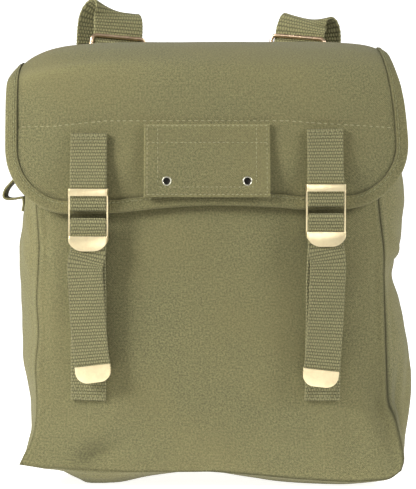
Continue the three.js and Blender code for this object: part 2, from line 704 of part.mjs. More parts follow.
function addEquipmentTab() {
  const lowAlong = edgeAlong(0) - BINDING_BAND + TAB_OVER_BINDING;
  const steps = 6;
  const columns = Array.from({ length: steps + 1 }, (_, i) => TAB_WIDTH * (i / steps - 0.5));
  const rows = Array.from({ length: steps + 1 }, (_, i) => lowAlong - TAB_HEIGHT * (1 - i / steps));
  const under = CANVAS + GAP;
  // The tab lies on the cloth where it is sewn and rises over the tape
  const lift = (along) => {
    const share = (along - rows[0]) / (TAB_HEIGHT - TAB_OVER_BINDING - 3);
    return (BINDING + BINDING_GAP + GAP) * THREE.MathUtils.smoothstep(share, 0.25, 1);
  };
  const grid = (off) => rows.map((along) => columns.map((a) => onFlap(a, along, off + lift(along)).at));
  let cloth = solidOf(wall(grid(under + TAB_CLOTH), grid(under)));
  const profile = [
    new THREE.Vector2(EYELET_HOLE, -TAB_CLOTH),
    new THREE.Vector2(EYELET_HOLE + 0.4, -TAB_CLOTH),
    new THREE.Vector2(EYELET_HOLE + 0.4, GAP),
    new THREE.Vector2(EYELET_RADIUS, GAP),
    new THREE.Vector2(EYELET_RADIUS - 0.1, GAP + 0.35),
    new THREE.Vector2(EYELET_RADIUS - 0.55, GAP + 0.6),
    new THREE.Vector2(EYELET_HOLE, GAP + 0.25),
    new THREE.Vector2(EYELET_HOLE, -TAB_CLOTH),
  ];
  for (const side of [-1, 1]) {
    const along = lowAlong - EYELET_ABOVE_EDGE;
    const spot = onFlap((side * EYELET_SPAN) / 2, along, under + TAB_CLOTH + lift(along));
    const turn = new THREE.Quaternion().setFromUnitVectors(new THREE.Vector3(0, 1, 0), spot.out);
    const hole = new THREE.CylinderGeometry(EYELET_HOLE + 0.4 + GAP, EYELET_HOLE + 0.4 + GAP, 8, 12);
    hole.applyQuaternion(turn).translate(spot.at.x, spot.at.y, spot.at.z);
    cloth = cloth.subtract(solidOf(hole));
    const ring = solidOf(new THREE.LatheGeometry(profile, 12));
    const name = side < 0 ? "eyelet_left" : "eyelet_right";
    const mesh = addMesh(name, outward(geometryOf(ring)), eyeletMaterial);
    mesh.quaternion.copy(turn);
    mesh.position.copy(spot.at);
  }
  addMesh("equipment_tab", geometryOf(cloth), canvasMaterial);
}
addEquipmentTab();

// Buckle, in its own directions: X across, Y up the strap, Z out of the bag, with the
// plates' backs at Z = 0

const layer = WEB + 2 * GAP; // room for one thickness of webbing
const barDepth = -(layer + BAR_RADIUS);
const wrap = BAR_RADIUS + GAP + WEB / 2; // bar's middle to the middle of the webbing round it
const railDepth = barDepth - BAR_RADIUS - GAP;
const buckleWidth = WEB_WIDTH + 2 * (GAP + BUCKLE_METAL);

// A plate's outline bent back at both ends, carried down the whole buckle
function channel() {
  const half = buckleWidth / 2;
  const outerBend = 1.6 * BUCKLE_METAL;
  const innerBend = outerBend - BUCKLE_METAL;
  const shape = new THREE.Shape();
  shape.moveTo(-half, railDepth);
  shape.lineTo(-half + BUCKLE_METAL, railDepth);
  shape.lineTo(-half + BUCKLE_METAL, -innerBend);
  shape.absarc(-half + outerBend, -innerBend, innerBend, Math.PI, Math.PI / 2, true);
  shape.lineTo(half - outerBend, 0);
  shape.absarc(half - outerBend, -innerBend, innerBend, Math.PI / 2, 0, true);
  shape.lineTo(half - BUCKLE_METAL, railDepth);
  shape.lineTo(half, railDepth);
  shape.absarc(half - outerBend, BUCKLE_METAL - outerBend, outerBend, 0, Math.PI / 2, false);
  shape.absarc(-half + outerBend, BUCKLE_METAL - outerBend, outerBend, Math.PI / 2, Math.PI, false);
  const bar = new THREE.ExtrudeGeometry(shape, { depth: BUCKLE_HEIGHT, bevelEnabled: false, curveSegments: 3 });
  return bar.rotateX(Math.PI / 2).translate(0, BUCKLE_HEIGHT / 2, 0);
}

// A flat plate outline with small upper corners and large lower ones
function plateOutline(width, height, corner, lower) {
  const shape = new THREE.Shape();
  const w = width / 2;
  const h = height / 2;
  shape.moveTo(-w, h - corner);
  shape.lineTo(-w, -h + lower);
  shape.absarc(-w + lower, -h + lower, lower, Math.PI, 1.5 * Math.PI, false);
  shape.absarc(w - lower, -h + lower, lower, 1.5 * Math.PI, 2 * Math.PI, false);
  shape.absarc(w - corner, h - corner, corner, 0, Math.PI / 2, false);
  shape.absarc(-w + corner, h - corner, corner, Math.PI / 2, Math.PI, false);
  return shape;
}

function buckleSolid() {
  const outline = plateOutline(buckleWidth + 1, BUCKLE_HEIGHT, BUCKLE_METAL, BUCKLE_CORNER);
  const mould = new THREE.ExtrudeGeometry(outline, { depth: 20, bevelEnabled: false, curveSegments: 5 });
  mould.translate(0, 0, -12);
  const windowHeight = BUCKLE_HEIGHT - TOP_PLATE - END_PLATE;
  const windowMiddle = (END_PLATE - TOP_PLATE) / 2;
  const opening = new THREE.BoxGeometry(buckleWidth + 4, windowHeight, 10);
  opening.translate(0, windowMiddle, 5 - RAIL_BACK);
  let solid = solidOf(channel()).intersect(solidOf(mould)).subtract(solidOf(opening));
  for (const height of [UPPER_BAR, LOWER_BAR]) {
    const bar = new THREE.CylinderGeometry(BAR_RADIUS, BAR_RADIUS, buckleWidth - BUCKLE_METAL, 10);
    bar.rotateZ(Math.PI / 2).translate(0, height, barDepth);
    solid = solid.add(solidOf(bar));
  }
  return solid;
}

// Closing straps

const chapeUnder = CANVAS + GAP + WEB / 2;
const buckleOff = chapeUnder + BINDING + BINDING_GAP + wrap - barDepth;

function addClosure(side, end, freeLength) {
  const edge = edgeAlong(side * STRAP_OUT);
  const seat = onFlap(side * STRAP_OUT, edge + BUCKLE_BELOW_EDGE, buckleOff);
  const rise = seat.run.clone().negate();
  const placed = new THREE.Matrix4().makeBasis(seat.across, rise, seat.out).setPosition(seat.at);
  const buckle = addMesh(`buckle_${end}`, geometryOf(buckleSolid()), brassMaterial);
  buckle.quaternion.setFromRotationMatrix(placed);
  buckle.position.copy(seat.at);
  const inBuckle = (up, out) => ({
    at: new THREE.Vector3(0, up, out).applyMatrix4(placed),
    across: seat.across,
  });
  const back = barDepth - wrap;
  const front = barDepth + wrap;
  const round = (height, from, to) =>
    Array.from({ length: 5 }, (_, i) => {
      const angle = THREE.MathUtils.lerp(from, to, i / 4);
      return inBuckle(height + wrap * Math.sin(angle), barDepth + wrap * Math.cos(angle));
    });

  // Doubled webbing from its sewn end on the flap, round the upper bar and back
  const onTab = (fromEdge, off) => onFlap(side * STRAP_OUT, edge - fromEdge, off);
  const sewnEnd = CHAPE_LENGTH + UPPER_BAR - BUCKLE_BELOW_EDGE - wrap;
  const bandEnd = BINDING_BAND + 2 * WEB;
  const chapeOver = chapeUnder + WEB + GAP;
  const chape = [
    onTab(sewnEnd, chapeUnder),
    onTab(sewnEnd * 0.7, chapeUnder),
    onTab(bandEnd + 2 * WEB, chapeUnder),
    onTab(bandEnd, chapeUnder + (BINDING + BINDING_GAP) * 0.85),
    inBuckle(UPPER_BAR + 3, back),
    ...round(UPPER_BAR, Math.PI, 2 * Math.PI),
    inBuckle(UPPER_BAR + 4, front),
    inBuckle(BUCKLE_HEIGHT / 2 + 0.5, front),
    onTab(sewnEnd * 0.62, chapeOver + 1.1),
    onTab(sewnEnd * 0.75, chapeOver),
    onTab(sewnEnd * 0.88, chapeOver),
    onTab(sewnEnd, chapeOver),
  ];
  addMesh(`buckle_tab_${end}`, ribbon(chape, WEB_WIDTH, WEB), webMaterial);

  // Strap from its sewn leg, round the lower bar and down the front, ending inside its tip
  const flat = GAP + WEB / 2;
  const seatZ = seat.at.z;
  const behind = inBuckle(LOWER_BAR - 4, back).at;
  const seatOff = onPanel("front", behind.x, behind.z).at.y - behind.y;
  const legTop = behind.z - 12;
  const legX = (z) => side * (STRAP_OUT - (1.5 * (side > 0 ? 1 : -0.8) * (seatZ - z)) / (seatZ - LEG_FOOT));
  const leg = [0, 0.25, 0.5, 0.72].map((share) => {
    const z = THREE.MathUtils.lerp(LEG_FOOT, legTop, share);
    return onPanel("front", legX(z), z, flat);
  });
  const lift = onPanel("front", legX(legTop), legTop, THREE.MathUtils.lerp(flat, seatOff, 0.55));
  const hangTop = seatZ - BUCKLE_HEIGHT / 2;
  const hangOff = seatOff + 2 * wrap;
  const hang = FREE_ROWS.map((row) =>
    onPanel(
      "front",
      seat.at.x - side * row.drift * WEB_WIDTH,
      hangTop - row.down * freeLength,
      row.off * hangOff,
    ),
  );
  const strap = [
    ...leg,
    lift,
    inBuckle(LOWER_BAR - 4, back),
    ...round(LOWER_BAR, Math.PI, 0),
    inBuckle(LOWER_BAR - 6, front),
    inBuckle(-BUCKLE_HEIGHT / 2, front),
    ...hang,
  ];
  addMesh(`closing_strap_${end}`, ribbon(strap, WEB_WIDTH, WEB), webMaterial);

  // Tip: a plate folded over the strap's end, open at its sides
  const insert = TIP_LENGTH * 0.5;
  const tail = route(strap, 2).at(-1);
  const out = tail.along.clone().cross(tail.across).normalize();
  const across = out.clone().cross(tail.along).normalize();
  const upward = tail.along.clone().negate();
  const basis = new THREE.Matrix4().makeBasis(across, upward, across.clone().cross(upward));
  const tipDepth = WEB + 2 * (GAP + TIP_METAL);
  const outline = plateOutline(WEB_WIDTH, TIP_LENGTH, 0.6, TIP_CORNER);
  const body = new THREE.ExtrudeGeometry(outline, {
    depth: tipDepth - 0.6,
    bevelThickness: 0.3,
    bevelSize: 0.3,
    bevelOffset: -0.3,
    bevelSegments: 1,
    curveSegments: 4,
  });
  body.translate(0, insert - TIP_LENGTH / 2, 0.3 - tipDepth / 2);
  const pocket = new THREE.BoxGeometry(WEB_WIDTH + 4, 20, WEB + 2 * GAP);
  pocket.translate(0, 10 - GAP, 0);
  const tip = addMesh(`strap_tip_${end}`, geometryOf(solidOf(body).subtract(solidOf(pocket))), brassMaterial);
  tip.quaternion.setFromRotationMatrix(basis);
  tip.position.copy(tail.at);
}
addClosure(-1, "left", FREE_LEFT);
addClosure(1, "right", FREE_RIGHT);

// Shoulder straps with their sliders

// Wire slider in its own directions: X across the strap, Y up the strap, Z toward the bag
function sliderSolid() {
  const halfWidth = SHOULDER_WIDTH / 2 + GAP + WIRE;
  const corner = 4;
  const outline = plateOutline(2 * halfWidth, 2 * SLIDER_PITCH, corner, corner);
  const points = outline.getSpacedPoints(36).slice(0, -1);
  const sides = 6;
  const section = Array.from({ length: sides }, (_, k) => {
    const angle = (2 * Math.PI * k) / sides;
    return new THREE.Vector2(WIRE * Math.cos(angle), WIRE * Math.sin(angle));
  });
  const rings = points.map((p, i) => {
    const run = points[(i + 1) % points.length].clone().sub(points.at(i - 1)).normalize();
    return section.map((s) => new THREE.Vector3(p.x + run.y * s.x, p.y - run.x * s.x, s.y));
  });
  const bar = new THREE.CylinderGeometry(WIRE, WIRE, 2 * halfWidth, sides).rotateZ(Math.PI / 2);
  return solidOf(sweep(section, rings, true)).add(solidOf(bar));
}

function addShoulderStrap(side, end, bight, lean, turn, roll) {
  const flat = new THREE.Vector3(Math.cos(turn), -side * Math.sin(turn), 0);
  const up = new THREE.Vector3(0, 0.1, 1);
  up.addScaledVector(flat, -up.dot(flat)).normalize();
  const inward = flat.clone().cross(up);
  flat.applyAxisAngle(inward, -side * lean);
  up.applyAxisAngle(inward, -side * lean);
  const sliderUp = BODY_HEIGHT + SLIDER_OVER_MOUTH;
  const middle = new THREE.Vector3(side * SHOULDER_OUT, BODY_DEPTH / 2 + SLIDER_BACK, sliderUp);
  const placed = new THREE.Matrix4().makeBasis(flat, up, inward).setPosition(middle);
  const slider = addMesh(`slider_${end}`, geometryOf(sliderSolid()), wireMaterial);
  slider.quaternion.setFromRotationMatrix(placed);
  slider.position.copy(middle);

  const weave = WIRE + 2 * GAP + SHOULDER_WEB / 2;
  const tilt = (share) => flat.clone().applyAxisAngle(inward, side * roll * share);
  const bySlider = (height, back, tilted = 0, aside = 0) => ({
    at: new THREE.Vector3(side * aside, height, -back).applyMatrix4(placed),
    across: tilt(tilted),
  });
  const deep = 6 * SHOULDER_WEB;
  const sway = BIGHT_SWAY;
  const off = 1.5 * GAP + SHOULDER_WEB / 2;
  const inner = side * SHOULDER_OUT * 0.95;
  const lap = CANVAS + off;
  const lapEdge = BODY_HEIGHT * FLAP_ROWS[0].up;
  const points = [
    onPanel("back", inner, BODY_HEIGHT - SHOULDER_BELOW_MOUTH, off),
    onPanel("back", inner, lapEdge - 14, off),
    onPanel("back", inner, lapEdge - 4, off + CANVAS + 3 * GAP),
    onFlap(inner, alongBack(lapEdge + 8), lap + 2 * GAP),
    onFlap(inner, alongBack(lapEdge + 18), lap + 7 * GAP),
    bySlider(-SLIDER_PITCH - 5, weave),
    bySlider(-SLIDER_PITCH, weave),
    bySlider(-SLIDER_PITCH / 2, 0),
    bySlider(0, -weave),
    bySlider(SLIDER_PITCH / 2, 0),
    bySlider(SLIDER_PITCH, weave),
    bySlider(SLIDER_PITCH + 5, weave),
    bySlider(bight - deep * 0.45, weave + deep * 0.1, 0.7, sway * 0.05),
    bySlider(bight - deep * 0.1, weave + deep * 0.3, 1, sway * 0.15),
    bySlider(bight, weave + deep * 0.62, 1, sway * 0.35),
    bySlider(bight - deep * 0.14, weave + deep * 0.95, 1, sway * 0.65),
    bySlider(bight - deep * 0.6, weave + deep * 1.2, 0.8, sway),
    ...HANG_ROWS.map((row) => ({
      at: new THREE.Vector3(
        side * SHOULDER_OUT * row.out,
        BODY_DEPTH * (0.5 + row.back),
        THREE.MathUtils.lerp(SHOULDER_FOOT, sliderUp, row.up),
      ),
      across: new THREE.Vector3(Math.cos(turn * row.turn), -side * Math.sin(turn * row.turn), 0),
    })),
    onPanel("back", side * SHOULDER_OUT * HANG_ROWS.at(-1).out, SHOULDER_FOOT + 16, off),
    onPanel("back", side * SHOULDER_OUT * HANG_ROWS.at(-1).out, SHOULDER_FOOT, off),
  ];
  addMesh(`shoulder_strap_${end}`, ribbon(points, SHOULDER_WIDTH, SHOULDER_WEB), webMaterial);
}

const TURN = THREE.MathUtils.degToRad(17);
const LEAN = THREE.MathUtils.degToRad(5);
addShoulderStrap(-1, "left", BIGHT_LEFT, -LEAN, TURN, THREE.MathUtils.degToRad(14));
addShoulderStrap(1, "right", BIGHT_RIGHT, LEAN, TURN, -LEAN);

// Side loop: a folded strip sewn to the left side of the gusset

// A point of the gusset's left side at a given height, moved out, with its directions there
function onGusset(z, share, off) {
  let i = 0;
  while (i < SIDE_STEPS - 1 && gussetPoint(i + 1, share).z > z) i += 1;
  const high = gussetPoint(i, share);
  const low = gussetPoint(i + 1, share);
  const at = high.clone().lerp(low, (high.z - z) / (high.z - low.z));
  const across = gussetPoint(i, share + 0.05).sub(gussetPoint(i, share - 0.05)).normalize();
  const out = across.clone().cross(low.sub(high)).normalize();
  if (out.x > 0) out.negate();
  return { at: at.addScaledVector(out, off), across };
}

function addSideLoop() {
  const flat = GAP + CANVAS / 2;
  const points = LOOP_ROWS.map((row) => {
    const off = flat + row.out * LOOP_REACH;
    return onGusset(LOOP_UP + row.up * LOOP_HEIGHT, LOOP_SHARE, off);
  });
  addMesh("side_loop", ribbon(points, LOOP_WIDTH, CANVAS), canvasMaterial);
}
addSideLoop();

// The origin stands under the middle of everything
const extent = new THREE.Box3().setFromObject(bag);
const centre = extent.getCenter(new THREE.Vector3());
bag.position.set(-centre.x, -centre.y, 0);

export default bag;
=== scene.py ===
"""Looks of the canvas haversack: fine cloth, webbing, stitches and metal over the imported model.

Shapes are worked out in millimetres in the bag's own directions (x to the viewer's right, y to the
back, z up, floor at 0) and moved to the model's place when a mesh is made.
"""

import math

import bmesh
import bpy
import numpy as np
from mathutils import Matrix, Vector


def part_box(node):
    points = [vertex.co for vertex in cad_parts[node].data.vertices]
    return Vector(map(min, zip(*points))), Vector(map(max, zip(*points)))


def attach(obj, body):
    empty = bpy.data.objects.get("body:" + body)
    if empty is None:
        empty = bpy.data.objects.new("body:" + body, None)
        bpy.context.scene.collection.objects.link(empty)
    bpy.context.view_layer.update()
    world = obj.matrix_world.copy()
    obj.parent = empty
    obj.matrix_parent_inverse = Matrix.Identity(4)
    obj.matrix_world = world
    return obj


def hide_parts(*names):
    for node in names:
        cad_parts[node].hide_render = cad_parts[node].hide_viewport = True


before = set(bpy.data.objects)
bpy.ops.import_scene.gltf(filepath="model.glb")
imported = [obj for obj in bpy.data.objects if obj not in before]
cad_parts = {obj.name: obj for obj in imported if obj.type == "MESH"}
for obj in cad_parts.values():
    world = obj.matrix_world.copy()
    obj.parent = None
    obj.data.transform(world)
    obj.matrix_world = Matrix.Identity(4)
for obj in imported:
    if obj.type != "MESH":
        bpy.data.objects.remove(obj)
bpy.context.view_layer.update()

# Sizes of the bag, in millimetres, as in the model

BODY_WIDTH = 236
BODY_HEIGHT = 280.5
BODY_DEPTH = 92
FRONT_CROWN = 14
BACK_CROWN = 5
CANVAS = 1.5
GAP = 0.3

FLAP_WIDTH = 277
FLAP_CORNER = 45
BINDING = 0.9
BINDING_BAND = 8
BINDING_GAP = 0.45

TAB_WIDTH = 86
TAB_HEIGHT = 49.5
TAB_CLOTH = 2
TAB_OVER_BINDING = 3.5
EYELET_SPAN = 55
EYELET_ABOVE_EDGE = 11
EYELET_RADIUS = 3.4
EYELET_HOLE = 2.3

STRAP_OUT = 80.5
WEB_WIDTH = 24.6
WEB = 1.6
CHAPE_LENGTH = 52
LEG_FOOT = 62.5
FREE_LEFT = 84
FREE_RIGHT = 90
BUCKLE_HEIGHT = 42.5
BUCKLE_BELOW_EDGE = 5
BAR_RADIUS = 1.2
UPPER_BAR = 8.8
LOWER_BAR = -1.8

SHOULDER_OUT = 65.2
SHOULDER_WIDTH = 37
SHOULDER_WEB = 2
SHOULDER_TOP = BODY_HEIGHT - 48
SHOULDER_FOOT = 38
SLIDER_UP = BODY_HEIGHT + 21.3
SLIDER_BACK = 15
SLIDER_PITCH = 13
WIRE = 1.4
BIGHT_LEFT = 33
BIGHT_RIGHT = 27
BIGHT_SWAY = 8
TURN = math.radians(17)
LEAN = math.radians(5)

LOOP_UP = 209
LOOP_REACH = 15
LOOP_HEIGHT = 24
LOOP_WIDTH = 18
LOOP_SHARE = 0.62

HALF_BODY = BODY_WIDTH / 2
HALF_FLAP = FLAP_WIDTH / 2
RISE = 0.35  # how far the finished cloth stands over the plain solid's


def rows(names, text):
    """A table written as lines of numbers, as a dict of its named columns."""
    data = np.array([[float(n) for n in line.split()] for line in text.strip().splitlines()])
    return {name: data[:, i] for i, name in enumerate(names.split())}


SIDE = rows("up left right back swell_left swell_right", """
0      1.106  1.144  0.935  0.03   0.055
0.025  1.076  1.158  0.965  0.04   0.072
0.05   1.044  1.153  0.978  0.06   0.092
0.09   1.016  1.132  0.985  0.065  0.135
0.14   1.002  1.103  0.985  0.072  0.187
0.17   1.001  1.071  0.985  0.076  0.228
0.2    1.003  1.061  0.985  0.09   0.24
0.26   1.007  1.055  0.985  0.12   0.239
0.35   0.99   1.048  0.985  0.152  0.216
0.43   0.999  1.042  0.985  0.152  0.168
0.5    0.992  1.038  0.985  0.168  0.108
0.57   0.984  1.036  0.985  0.183  0.174
0.64   0.993  1.017  0.985  0.152  0.214
0.7    1      1.003  0.985  0.12   0.235
0.85   0.996  0.996  0.985  0.098  0.16
1      0.987  0.987  0.985  0.076  0.1
""")

BOTTOM = rows("across front back drop", """
0     0.0578  0.0477  0.03
0.05  0.0509  0.0325  0.035
0.1   0.0488  0.0275  0.05
0.13  0.0466  0.0265  0.1
0.17  0.0445  0.0265  0.15
0.23  0.0420  0.0265  0.14
0.28  0.0402  0.0265  0.105
0.36  0.0398  0.0285  0.055
0.45  0.0402  0.0305  0.033
0.5   0.0405  0.0305  0.025
0.56  0.0362  0.0295  0.04
0.62  0.0319  0.0285  0.06
0.7   0.0247  0.0265  0.08
0.78  0.0193  0.0265  0.085
0.86  0.0153  0.0265  0.08
0.92  0.0175  0.0275  0.07
0.97  0.0235  0.0345  0.06
1     0.0430  0.0477  0.055
""")

CROWN = rows("up front back", """
0     0     0
0.08  0.42  0.4
0.2   0.8   0.75
0.4   1     1
0.68  1     1
0.85  0.84  1
1     0.5   1
""")

DENTS = rows("across up wide high deep", """
0.165  0.035  0.035  0.035  0.24
0.975  0.17   0.035  0.09   0.2
""")

FLAP = rows("back up droop_left sharp_left droop_right sharp_right narrow", """
0.5635  0.905   0.1    4    0.1   4   0.03
0.5635  0.955   0.1    4    0.1   4   0.05
0.559   1.005   0.105  4.4  0.1   5   0.08
0.515   1.052   0.17   5.4  0.11  7   0.11
0.4     1.084   0.215  6    0.1   9   0.13
0.18    1.0975  0.23   6    0.09  10  0.135
-0.09   1.0935  0.225  6    0.09  10  0.13
-0.34   1.0735  0.2    5.6  0.1   9   0.11
-0.54   1.034   0.165  5    0.11  7   0.08
-0.63   0.975   0.15   4.4  0.12  5   0.045
-0.662  0.89    0.142  4    0.13  4   0.015
-0.679  0.8     0.14   4    0.14  4   0
-0.682  0.7     0.14   4    0.14  4   0
-0.68   0.6     0.14   4    0.14  4   0
""")

EDGE = rows("across up", """
-1     0.683
-0.68  0.6845
-0.45  0.688
-0.24  0.699
-0.03  0.706
0.17   0.7055
0.38   0.7005
0.47   0.696
0.7    0.6975
1      0.698
""")

FREE = rows("down off drift", """
0.12  0.93  0.005
0.32  0.84  0.02
0.55  0.77  0.05
0.78  0.71  0.1
0.92  0.69  0.145
1     0.68  0.18
""")

HANG = rows("up out back turn", """
0.93  1.2   0.265  0.7
0.82  1.26  0.215  0.4
0.7   1.31  0.16   0.1
0.52  1.35  0.115  0
0.34  1.37  0.095  0
0.2   1.38  0.08   0
""")

# The bight of a shoulder strap above its slider: shares of its depth, of its roll and of its sway

BIGHT = rows("up back tilt sway", """
-0.45  0.1   0.7  0.05
-0.1   0.3   1    0.15
0      0.62  1    0.35
-0.14  0.95  1    0.65
-0.6   1.2   0.8  1
""")

# Rows of stitches on the equipment tab, in millimetres from its left and top edges

TAB_STITCHES = rows("x0 y0 x1 y1", """
1.5   1.2   84.5  1.2
1.5   12.5  84.5  12.5
1.5   47.5  84.5  47.5
10    42.5  76    42.5
2.2   2     2.2   47.5
83.8  2     83.8  47.5
9.4   2     9.4   40
76.6  2     76.6  40
""")

LOOP = rows("out up", """
0     0.95
0     0.68
0.12  0.45
0.55  0.12
0.95  -0.22
0.98  -0.42
0.8   -0.52
0.4   -0.44
0.1   -0.4
0     -0.56
0     -0.8
""")

# Soft folds pressed into the cloth: a ridge or a hollow along a line from one place to another,
# as shares of the panel or in millimetres on the flap, with its half width and height in millimetres

FRONT_FOLDS = rows("u0 v0 u1 v1 wide high", """
0.15   0.02   0.25   0.075  7    -3.0
0.10   0.10   0.30   0.17   14   1.0
0.965  0.20   0.995  0.03   4.5  -2.2
0.93   0.19   0.965  0.03   8    1.6
0.80   0.02   0.83   0.20   8    0.9
0.765  0.02   0.775  0.16   6    -0.7
0.875  0.03   0.885  0.14   6    -0.5
0.65   0.10   0.72   0.17   6    0.5
0.42   0.02   0.46   0.13   10   0.5
0.985  0.30   0.98   0.55   5    -0.9
0.04   0.30   0.05   0.62   7    0.6
0.30   0.38   0.70   0.33   26   -0.8
""")

FLAP_FOLDS = rows("u0 v0 u1 v1 wide high", """
-118  148  -66   144  4.5  0.9
-66   144  10    147  9    0.5
-112  158  -50   156  9    -0.5
20    150  110   146  8    0.45
-104  170  -96   222  9    0.5
-20   176  40    214  22   0.5
104   176  98    226  10   0.5
""")

# On the gusset a place is a station and a share from seam to seam, and a half width is such a share
GUSSET_FOLDS = rows("u0 v0 u1 v1 wide high", """
2.5   0.30  5.5   0.06  0.05  1.6
3.5   0.55  6.5   0.20  0.07  -1.2
8     0.30  13    0.38  0.08  1.0
12    0.15  15    0.30  0.06  -1.1
41.2  0.08  42.6  0.55  0.05  -2.2
43.0  0.06  41.6  0.42  0.05  1.5
34.6  0.05  38.0  0.12  0.05  -2.6
35.0  0.12  38.5  0.34  0.07  -1.5
34.0  0.18  39.0  0.45  0.07  1.3
45.5  0.30  44.0  0.60  0.08  1.0
""")


def column(table, key, name, at):
    """Smooth value of one column between its rows: a cubic in each span, with the mean slope of the
    two spans at each row."""
    k, v = table[key], table[name]
    slope = np.gradient(v, k)
    slope[1:-1] = (v[2:] - v[:-2]) / (k[2:] - k[:-2])
    at = np.asarray(at, float)
    i = np.clip(np.searchsorted(k, at) - 1, 0, len(k) - 2)
    span = k[i + 1] - k[i]
    t = np.clip((at - k[i]) / span, 0, 1)
    ease = t * t * (3 - 2 * t)
    bend = span * (slope[i] * t * (1 - t) ** 2 - slope[i + 1] * t * t * (1 - t))
    return v[i] * (1 - ease) + v[i + 1] * ease + bend


def unit(v):
    """Each vector divided by its length."""
    return v / np.maximum(np.linalg.norm(v, axis=-1, keepdims=True), 1e-9)


def stack(*parts):
    """Arrays x, y and z as one array of points."""
    return np.stack(np.broadcast_arrays(*parts), axis=-1).astype(float)


def ripple(a, b, size, seed, octaves=3):
    """Smooth unevenness: a sum of plane waves at seeded angles, each octave shorter and lower."""
    rng = np.random.default_rng(seed)
    total = 0
    for octave in range(octaves):
        for angle, phase in rng.uniform(0, 2 * math.pi, (5, 2)):
            length = size / 1.8**octave
            wave = a * math.cos(angle) + b * math.sin(angle)
            total = total + np.sin(2 * math.pi * wave / length + phase) / 1.7**octave
    return total / 5


def folds(table, a, b, scale=(1, 1), ends=0.12):
    """Height of the folds of a table: each is a bell across its own line that fades at both ends."""
    total = np.zeros(np.broadcast(a, b).shape)
    for u0, v0, u1, v1, wide, high in zip(*table.values()):
        start = np.array([u0 * scale[0], v0 * scale[1]])
        run = np.array([u1 * scale[0], v1 * scale[1]]) - start
        share = ((a - start[0]) * run[0] + (b - start[1]) * run[1]) / (run @ run)
        near = np.clip(share, 0, 1)
        gap = np.hypot(a - start[0] - near * run[0], b - start[1] - near * run[1])
        fade = np.sin(math.pi * (ends + (1 - 2 * ends) * near))
        total += high * fade * np.exp(-((gap / wide) ** 2))
    return total


def travelled(line):
    """Distance along a line of points from its first one to each."""
    return np.concatenate([[0], np.cumsum(np.linalg.norm(np.diff(line, axis=0), axis=1))])


def bell(distance, middle, wide):
    """A bell of height 1 at a middle distance."""
    return np.exp(-(((distance - middle) / wide) ** 2))


# Where the model stands: the bag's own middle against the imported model's

SHIFT = np.array([
    500 * (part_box("back_panel")[0].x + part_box("back_panel")[1].x),
    500 * (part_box("gusset")[0].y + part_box("gusset")[1].y),
    0,
])
BAG_MIDDLE = np.array([0, 0, 150])


def place_mesh(name, mesh, paint):
    """A mesh in the scene as an object, smooth and in one material."""
    mesh.polygons.foreach_set("use_smooth", np.ones(len(mesh.polygons), bool))
    mesh.materials.append(paint)
    piece = bpy.data.objects.new(name, mesh)
    bpy.context.scene.collection.objects.link(piece)
    return piece


def new_mesh(name, points, faces, paint, uv=None, marks=None, middle=BAG_MIDDLE):
    """A smooth mesh from points and four-cornered faces, turned outward by its signed volume about a
    middle, with its pattern coordinates in metres and its named marks on the points."""
    points = np.asarray(points, float).reshape(-1, 3)
    corners = points[faces] - middle
    first = np.cross(corners[:, 1] - corners[:, 0], corners[:, 2] - corners[:, 0])
    second = np.cross(corners[:, 2] - corners[:, 0], corners[:, 3] - corners[:, 0])
    if np.sum(corners[:, 0] * (first + second)) < 0:
        faces = faces[:, ::-1]
    mesh = bpy.data.meshes.new(name)
    mesh.vertices.add(len(points))
    mesh.vertices.foreach_set("co", ((points + SHIFT) / 1000).ravel())
    mesh.loops.add(faces.size)
    mesh.loops.foreach_set("vertex_index", faces.ravel().astype(np.int32))
    mesh.polygons.add(len(faces))
    mesh.polygons.foreach_set("loop_start", np.arange(0, faces.size, 4, dtype=np.int32))
    mesh.update(calc_edges=True)
    if uv is not None:
        layer = mesh.uv_layers.new(name="cloth")
        layer.data.foreach_set("uv", (uv.reshape(-1, 2)[faces.ravel()] / 1000).ravel())
    for mark, values in (marks or {}).items():
        attribute = mesh.attributes.new(mark, "FLOAT", "POINT")
        attribute.data.foreach_set("value", np.asarray(values, np.float32).ravel())
    piece = place_mesh(name, mesh, paint)
    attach(piece, "root")
    return piece


def grid_faces(count, across, round_count=False, round_across=False):
    """Four-cornered faces of a grid of points, joined round where asked."""
    r = np.arange(count if round_count else count - 1)[:, None]
    c = np.arange(across if round_across else across - 1)[None, :]
    r1, c1 = (r + 1) % count, (c + 1) % across
    return np.stack([r * across + c, r * across + c1, r1 * across + c1, r1 * across + c], -1).reshape(-1, 4)


def normals(grid):
    """Directions square to a grid of points, from its neighbours along and across."""
    return unit(np.cross(np.gradient(grid, axis=0), np.gradient(grid, axis=1)))


def thicken(piece, thickness):
    """Gives a cloth surface its thickness, in millimetres, on its inner side."""
    wall = piece.modifiers.new("cloth thickness", "SOLIDIFY")
    wall.thickness = thickness / 1000
    wall.offset = -1


# Materials


class Wire:
    """A value or colour socket of a material. Arithmetic on it adds Math nodes."""

    def __init__(self, tree, socket):
        self.tree = tree
        self.socket = socket

    def maths(self, operation, *others):
        return add(self.tree, "ShaderNodeMath", {"operation": operation}, [self, *others])

    def __add__(self, other):
        return self.maths("ADD", other)

    def __sub__(self, other):
        return self.maths("SUBTRACT", other)

    def __rsub__(self, other):
        return add(self.tree, "ShaderNodeMath", {"operation": "SUBTRACT"}, [other, self])

    def __mul__(self, other):
        return self.maths("MULTIPLY", other)

    def __truediv__(self, other):
        return self.maths("DIVIDE", other)

    def __pow__(self, other):
        return self.maths("POWER", other)

    __radd__ = __add__
    __rmul__ = __mul__

    def sine(self):
        return self.maths("SINE")

    def size(self):
        return self.maths("ABSOLUTE")

    def whole(self):
        return self.maths("FLOOR")

    def most(self, other):
        return self.maths("MAXIMUM", other)

    def clip(self, low=0, high=1):
        return self.maths("MAXIMUM", low).maths("MINIMUM", high)


